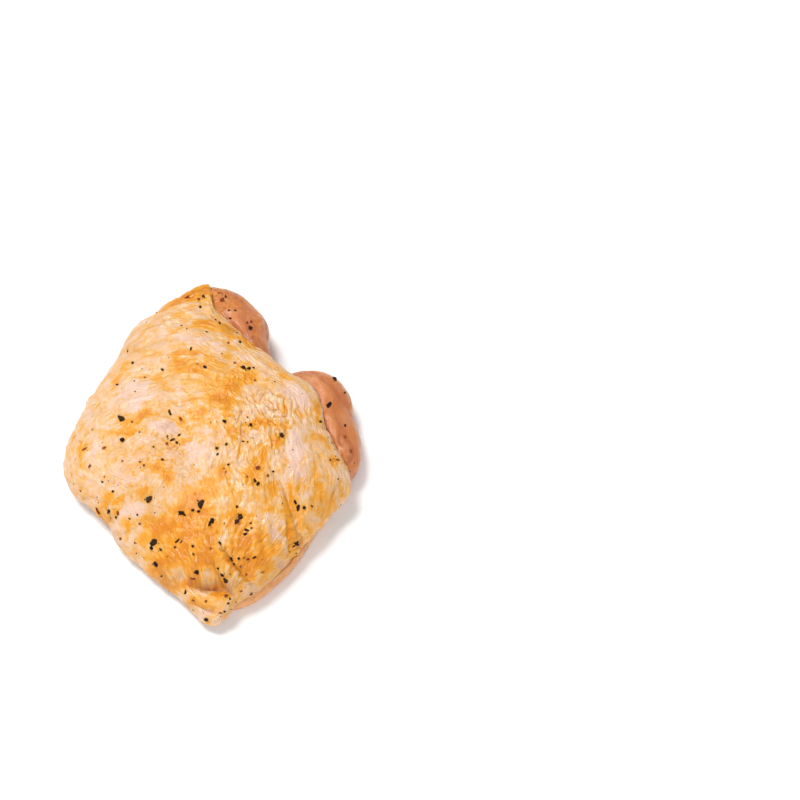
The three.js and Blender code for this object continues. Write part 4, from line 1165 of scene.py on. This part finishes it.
def on_surface(tree, x, y):
    """Point and normal of the topmost surface at a plan place, or further in where nothing lies below."""
    reach, _ = skin_rim.at(np.array([math.atan2(y, x)]))
    out = math.hypot(x, y)
    past = out - reach[0]
    first = past + RIM_CLEAR if -RIM_CLEAR < past < 1 else 0
    point, normal = None, None
    for further in FURTHER:
        if point is None:
            at = Vector((x, y)) * (1 - (first + further) / out) - Vector(MIDDLE)
            point, normal, _, _ = tree.ray_cast(Vector((*at * MM, SIGHT)), Vector((0, 0, -1)))
    return point, normal


def add_grain(shape, shades, detail, place, sizes, turn, sunk, cracks, draw):
    """One cracked grain, lying at a point on a surface with its normal there. Sizes are in metres."""
    point, normal = place
    made = bmesh.ops.create_icosphere(shape, subdivisions=detail, radius=0.5)["verts"]
    upright = normal.to_track_quat("Z", "Y").to_matrix().to_4x4()
    scale = Matrix.Diagonal((*sizes, 1))
    offset = Vector(draw.uniform(-50, 50, size=3))
    for vertex in made:
        lump = noise.noise(3 * vertex.co + offset) + 0.4 * noise.noise(9 * vertex.co + offset)
        vertex.co *= 1 + LUMPY * lump + draw.uniform(-RAGGED_GRAIN, RAGGED_GRAIN)
    for _ in range(cracks):
        cut = Vector(draw.normal(size=3)).normalized()
        level = draw.uniform(*CRACK_AT)
        for vertex in made:
            past = vertex.co.dot(cut) - level
            if past > 0:
                vertex.co -= cut * past * CRACK_FLAT
    spin = Matrix.Rotation(turn, 4, "Z") @ Matrix.Rotation(draw.uniform(-0.5, 0.5), 4, "X")
    centre = point - normal * sunk * sizes[2]
    bmesh.ops.transform(shape, matrix=Matrix.Translation(centre) @ upright @ spin @ scale, verts=made)
    shades += [draw.uniform(0, 1)] * len(made)


def grains_piece(context, name, material, listed, scattered, draw, tree):
    """One joined mesh of listed grains, their crumbs, and smaller ones scattered by a seeded rule."""
    shape, shades = bmesh.new(), []
    for x, y, length, breadth, turn in listed:
        place = on_surface(tree, x, y)
        if place[0] is None:
            raise RuntimeError(f"{name}: nothing lies under the grain at {x}, {y}")
        sizes = (GROWN[0] * length * MM, GROWN[1] * breadth * MM, breadth * draw.uniform(0.8, 1.05) * MM)
        large = length > LARGE
        detail, cracks = (3, 5) if large else (2, 3)
        add_grain(shape, shades, detail, place, sizes, math.radians(turn), 0.0, cracks, draw)
        for _ in range(draw.integers(0, 2) if large else 0):
            angle, size = draw.uniform(0, 6.28), length * draw.uniform(0.2, 0.4)
            away = length * draw.uniform(0.5, 0.75)
            place = on_surface(tree, x + away * math.cos(angle), y + away * math.sin(angle))
            sizes = (size * MM, 0.7 * size * MM, 0.6 * size * MM)
            if place[0] is not None:
                add_grain(shape, shades, 2, place, sizes, angle, 0.0, 3, draw)
    for x, y, radius in scattered:
        place = on_surface(tree, x, y)
        if place[0] is not None and place[1].z > 0.05:
            sizes = tuple(2 * radius * MM * draw.uniform(0.6, 1.3) for _ in range(3))
            add_grain(shape, shades, 1, place, sizes, draw.uniform(0, 6.28), 0.1, 1, draw)
    piece = new_object(name, shape, material, context)
    piece.data.polygons.foreach_set("use_smooth", [False] * len(piece.data.polygons))
    store(piece.data, "shade", np.array(shades))
    finish_piece(piece, "skin")


WIDER = 1.15  # reaches a little past the skin's rim, so that some grains lie on the meat
FRONT_LINE, FRONT_BLEND = -18, 14  # where the thicker spread towards the front sets in, and how gently


def scatter(draw, count, least, most, front_weight):
    """Seeded plan places, closer together towards the front, and a radius for each."""
    found = []
    while len(found) < count:
        bearing, share = draw.uniform(-math.pi, math.pi), math.sqrt(draw.uniform(0, 1)) * WIDER
        reach, _ = skin_rim.at(np.array([bearing]))
        x, y = share * reach[0] * math.cos(bearing), share * reach[0] * math.sin(bearing)
        keep = 0.35 + front_weight * (1 / (1 + math.exp((y - FRONT_LINE) / FRONT_BLEND)))
        if draw.uniform(0, 1) < keep:
            found.append((x, y, least + (most - least) * draw.uniform(0, 1) ** 2.6))
    return found


class PepperPieces(bpy.types.Operator):
    """Makes the cracked pepper, large and small, and the red spice bits, as one mesh each"""

    bl_idname = "steak.pepper"
    bl_label = "Pepper and spice"

    def execute(self, context):
        size, look = context.scene.steak_pepper, context.scene.steak_colours
        draw = np.random.default_rng(size.seed)
        tree = surface_tree([bpy.data.objects["skin_sheet"], bpy.data.objects["meat_body"]])
        pepper = grain_material("cracked black pepper", look.pepper, look.pepper_inside, 0.6)
        spice = grain_material("red spice bits", look.spice, look.spice_light, 0.5)
        specks = scatter(draw, size.specks, size.speck_least / MM, size.speck_most / MM, 0.75)
        bits = scatter(draw, size.bits, size.speck_least / MM, 0.6 * size.speck_most / MM, 0.6)
        grains_piece(context, "cracked_pepper", pepper, LARGE_PEPPER, specks, draw, tree)
        grains_piece(context, "spice_bits", spice, SPICE, bits, draw, tree)
        return {"FINISHED"}


# Stage

FLOOR_DROP = 0.00005  # keeps the floor just clear of the meat
LIGHTS = {"key": ((-0.32, 0.3, 0.8), 28), "fill": ((0.1, -0.8, 0.6), 45)}  # where each comes from, its spread


class StagePiece(bpy.types.Operator):
    """Makes the plain pale floor, the soft lights and the camera at the photograph's angle"""

    bl_idname = "steak.stage"
    bl_label = "Stage"

    def execute(self, context):
        size = context.scene.steak_stage
        shape = bmesh.new()
        bmesh.ops.create_grid(shape, x_segments=4, y_segments=4, size=size.floor / 2)
        bmesh.ops.translate(shape, verts=shape.verts[:], vec=(0, 0, -FLOOR_DROP))
        paint = Shader("pale floor")
        paint.set(Base_Color=size.floor_colour, Roughness=0.9, Specular_IOR_Level=0.1)
        floor = new_object("floor", shape, paint.material, context)

        world = bpy.data.worlds.new("soft white room")
        world.use_nodes = True
        room = world.node_tree.nodes["Background"].inputs
        room["Color"].default_value = (1, 1, 1, 1)
        room["Strength"].default_value = size.room
        context.scene.world = world

        for name, (way, spread) in LIGHTS.items():
            lamp = bpy.data.lights.new(name, "SUN")
            lamp.angle, lamp.energy = math.radians(spread), getattr(size, name)
            holder = bpy.data.objects.new(name, lamp)
            context.scene.collection.objects.link(holder)
            holder.rotation_euler = Vector(way).to_track_quat("Z", "Y").to_euler()

        camera = bpy.data.cameras.new("camera")
        camera.lens, camera.sensor_width = 100, 36
        camera.clip_start, camera.clip_end = 0.01, 20
        holder = bpy.data.objects.new("camera", camera)
        context.scene.collection.objects.link(holder)
        back = Vector((0, -math.cos(size.elevation), math.sin(size.elevation)))
        holder.location = Vector(size.aim) + back * size.distance
        holder.rotation_euler = (-back).to_track_quat("-Z", "Y").to_euler()
        context.scene.camera = holder
        context.scene.view_settings.view_transform = "Standard"
        return {"FINISHED"}


# Settings


def length(name, description, default):
    """A setting in metres."""
    return FloatProperty(name=name, description=description, default=default, unit="LENGTH", precision=5)


def whole(name, description, default, least=0, most=10000):
    """A setting that is a whole number."""
    return IntProperty(name=name, description=description, default=default, min=least, max=most)


def strength(name, description, default):
    """A setting for how bright a light is."""
    return FloatProperty(name=name, description=description, default=default, min=0)


def colour(name, description, default):
    """A setting that is a colour."""
    return FloatVectorProperty(
        name=name, description=description, default=default, subtype="COLOR", size=3, min=0, max=1
    )


class SkinSizes(bpy.types.PropertyGroup):
    """Sizes of the skin"""

    thickness: length("Thickness", "Of the skin where it hangs free", 0.002)
    edge_thickness: length("Edge thickness", "Of the skin's edge where it lies on meat", 0.0013)
    wrinkle_height: length("Wrinkle height", "Of a full wrinkle, valley to ridge", 0.0007)
    wrinkle_spacing: length("Wrinkle spacing", "Between fine wrinkles", 0.00105)
    lump_height: length("Lump height", "Of the soft unevenness between folds", 0.0004)
    cuts: whole("Cuts", "How finely the sheet is divided", 126, 16, 127)


class MeatSizes(bpy.types.PropertyGroup):
    """Sizes of the meat"""

    skin_gap: length("Depth below the skin", "From the skin's outer face to the meat", 0.0024)
    bundle: length("Seam depth", "Of the seams between bundles of strands", 0.0005)
    strand: length("Strand height", "Of the strands in a bundle", 0.00015)
    voxel: length("Fineness", "Size of the facets of the joined meat", 0.0008)
    cuts: whole("Cuts", "How finely the slab is divided", 90, 16, 127)


class PepperSizes(bpy.types.PropertyGroup):
    """Number and sizes of the scattered grains"""

    seed: whole("Seed", "Of the scattered grains", 12)
    specks: whole("Specks", "Number of small pepper grains", 260)
    bits: whole("Bits", "Number of small spice bits", 220)
    speck_least: length("Smallest speck", "Radius", 0.00013)
    speck_most: length("Largest speck", "Radius", 0.0004)


class Colours(bpy.types.PropertyGroup):
    """Colours of skin, marinade, meat, pepper and spice"""

    cream: colour("Cream", "Bare skin", (0.75, 0.505, 0.34))
    warm: colour("Warm cream", "Skin with a trace of marinade", (0.73, 0.42, 0.20))
    rose: colour("Rose", "Thin skin over meat", (0.75, 0.51, 0.40))
    lavender: colour("Lavender", "Skin over a dark vein", (0.58, 0.34, 0.25))
    # Tan is brown painted shade on the skin's lower right side and in its creases
    tan: colour("Tan", "Skin browned by the meat below it", (0.56, 0.28, 0.13))
    tint: colour("Tinted skin", "Skin with the thinnest film", (0.75, 0.43, 0.17))
    film: colour("Marinade film", "Thin marinade", (0.76, 0.36, 0.055))
    marinade: colour("Marinade", "Pooled marinade", (0.77, 0.31, 0.014))
    pool: colour("Pool", "Thickest marinade", (0.68, 0.235, 0.008))
    # Painted shade in creases and the valleys of wrinkles
    crease: colour("Crease", "Bottom of a crease", (0.44, 0.13, 0.025))
    # Pale colour of bare flakes and ridges, which also serves as painted highlight on them
    bare_ridge_and_highlight: colour("Ridge", "Bare flake or ridge", (0.81, 0.61, 0.37))
    salmon: colour("Meat", "Raw meat", (0.54, 0.165, 0.045))
    pale: colour("Pale meat", "Meat with a film of fat", (0.62, 0.23, 0.07))
    # Dark meat for the darker strands, and painted shade in seams, hollows and under the skin's edge
    deep: colour("Deep meat", "Meat in a recess", (0.36, 0.085, 0.025))
    coat: colour("Coated meat", "Meat under marinade", (0.59, 0.19, 0.032))
    fat: colour("Fat", "Beads and films of fat", (0.66, 0.37, 0.19))
    rim_fat: colour("Edge fat", "Fat that edges the meat at the front", (0.73, 0.365, 0.145))
    rim_warm: colour("Edge meat", "Meat that shows through that fat", (0.66, 0.29, 0.11))
    pepper: colour("Pepper", "Husk", (0.013, 0.006, 0.003))
    pepper_inside: colour("Pepper inside", "Broken faces", (0.08, 0.036, 0.016))
    spice: colour("Spice", "Dark side", (0.16, 0.035, 0.012))
    spice_light: colour("Spice light", "Light side", (0.36, 0.10, 0.03))


class StageSizes(bpy.types.PropertyGroup):
    """Floor, lights and camera"""

    floor: length("Floor", "Length of its side", 6)
    floor_colour: colour("Floor colour", "Of the floor", (0.98, 0.98, 0.98))
    room: strength("Room", "Strength of the white room", 0.34)
    key: strength("Key", "Strength of the light from the upper left", 2.6)
    fill: strength("Fill", "Strength of the wide light from the front", 1.55)
    elevation: FloatProperty(
        name="Elevation", description="Of the camera", default=math.radians(53), subtype="ANGLE"
    )
    distance: length("Distance", "From the camera to what it looks at", 0.85)
    aim: FloatVectorProperty(
        name="Aim", description="Where the camera looks", default=(0.07104, 0.02022, 0.012), unit="LENGTH"
    )


class SteakPanel(bpy.types.Panel):
    """Lists the steps that make the steak"""

    bl_label = "Steak"
    bl_idname = "VIEW3D_PT_steak"
    bl_space_type = "VIEW_3D"
    bl_region_type = "UI"
    bl_category = "Steak"

    def draw(self, context):
        for step in STEPS:
            self.layout.operator(step.bl_idname)


STEPS = (SkinPiece, MeatPiece, PepperPieces, StagePiece)
SETTINGS = {
    "steak_skin": SkinSizes, "steak_meat": MeatSizes, "steak_pepper": PepperSizes,
    "steak_colours": Colours, "steak_stage": StageSizes,
}


def register():
    """Makes the settings, the steps and the panel known."""
    for kind in (*SETTINGS.values(), *STEPS, SteakPanel):
        bpy.utils.register_class(kind)
    for name, kind in SETTINGS.items():
        setattr(bpy.types.Scene, name, PointerProperty(type=kind))


def unregister():
    """Takes them away again."""
    for name in SETTINGS:
        delattr(bpy.types.Scene, name)
    for kind in (SteakPanel, *STEPS, *SETTINGS.values()):
        bpy.utils.unregister_class(kind)


def main():
    """Makes every piece and the stage."""
    register()
    bpy.ops.steak.skin()
    bpy.ops.steak.meat()
    bpy.ops.steak.pepper()
    bpy.ops.steak.stage()


if __name__ == "__main__":
    main()
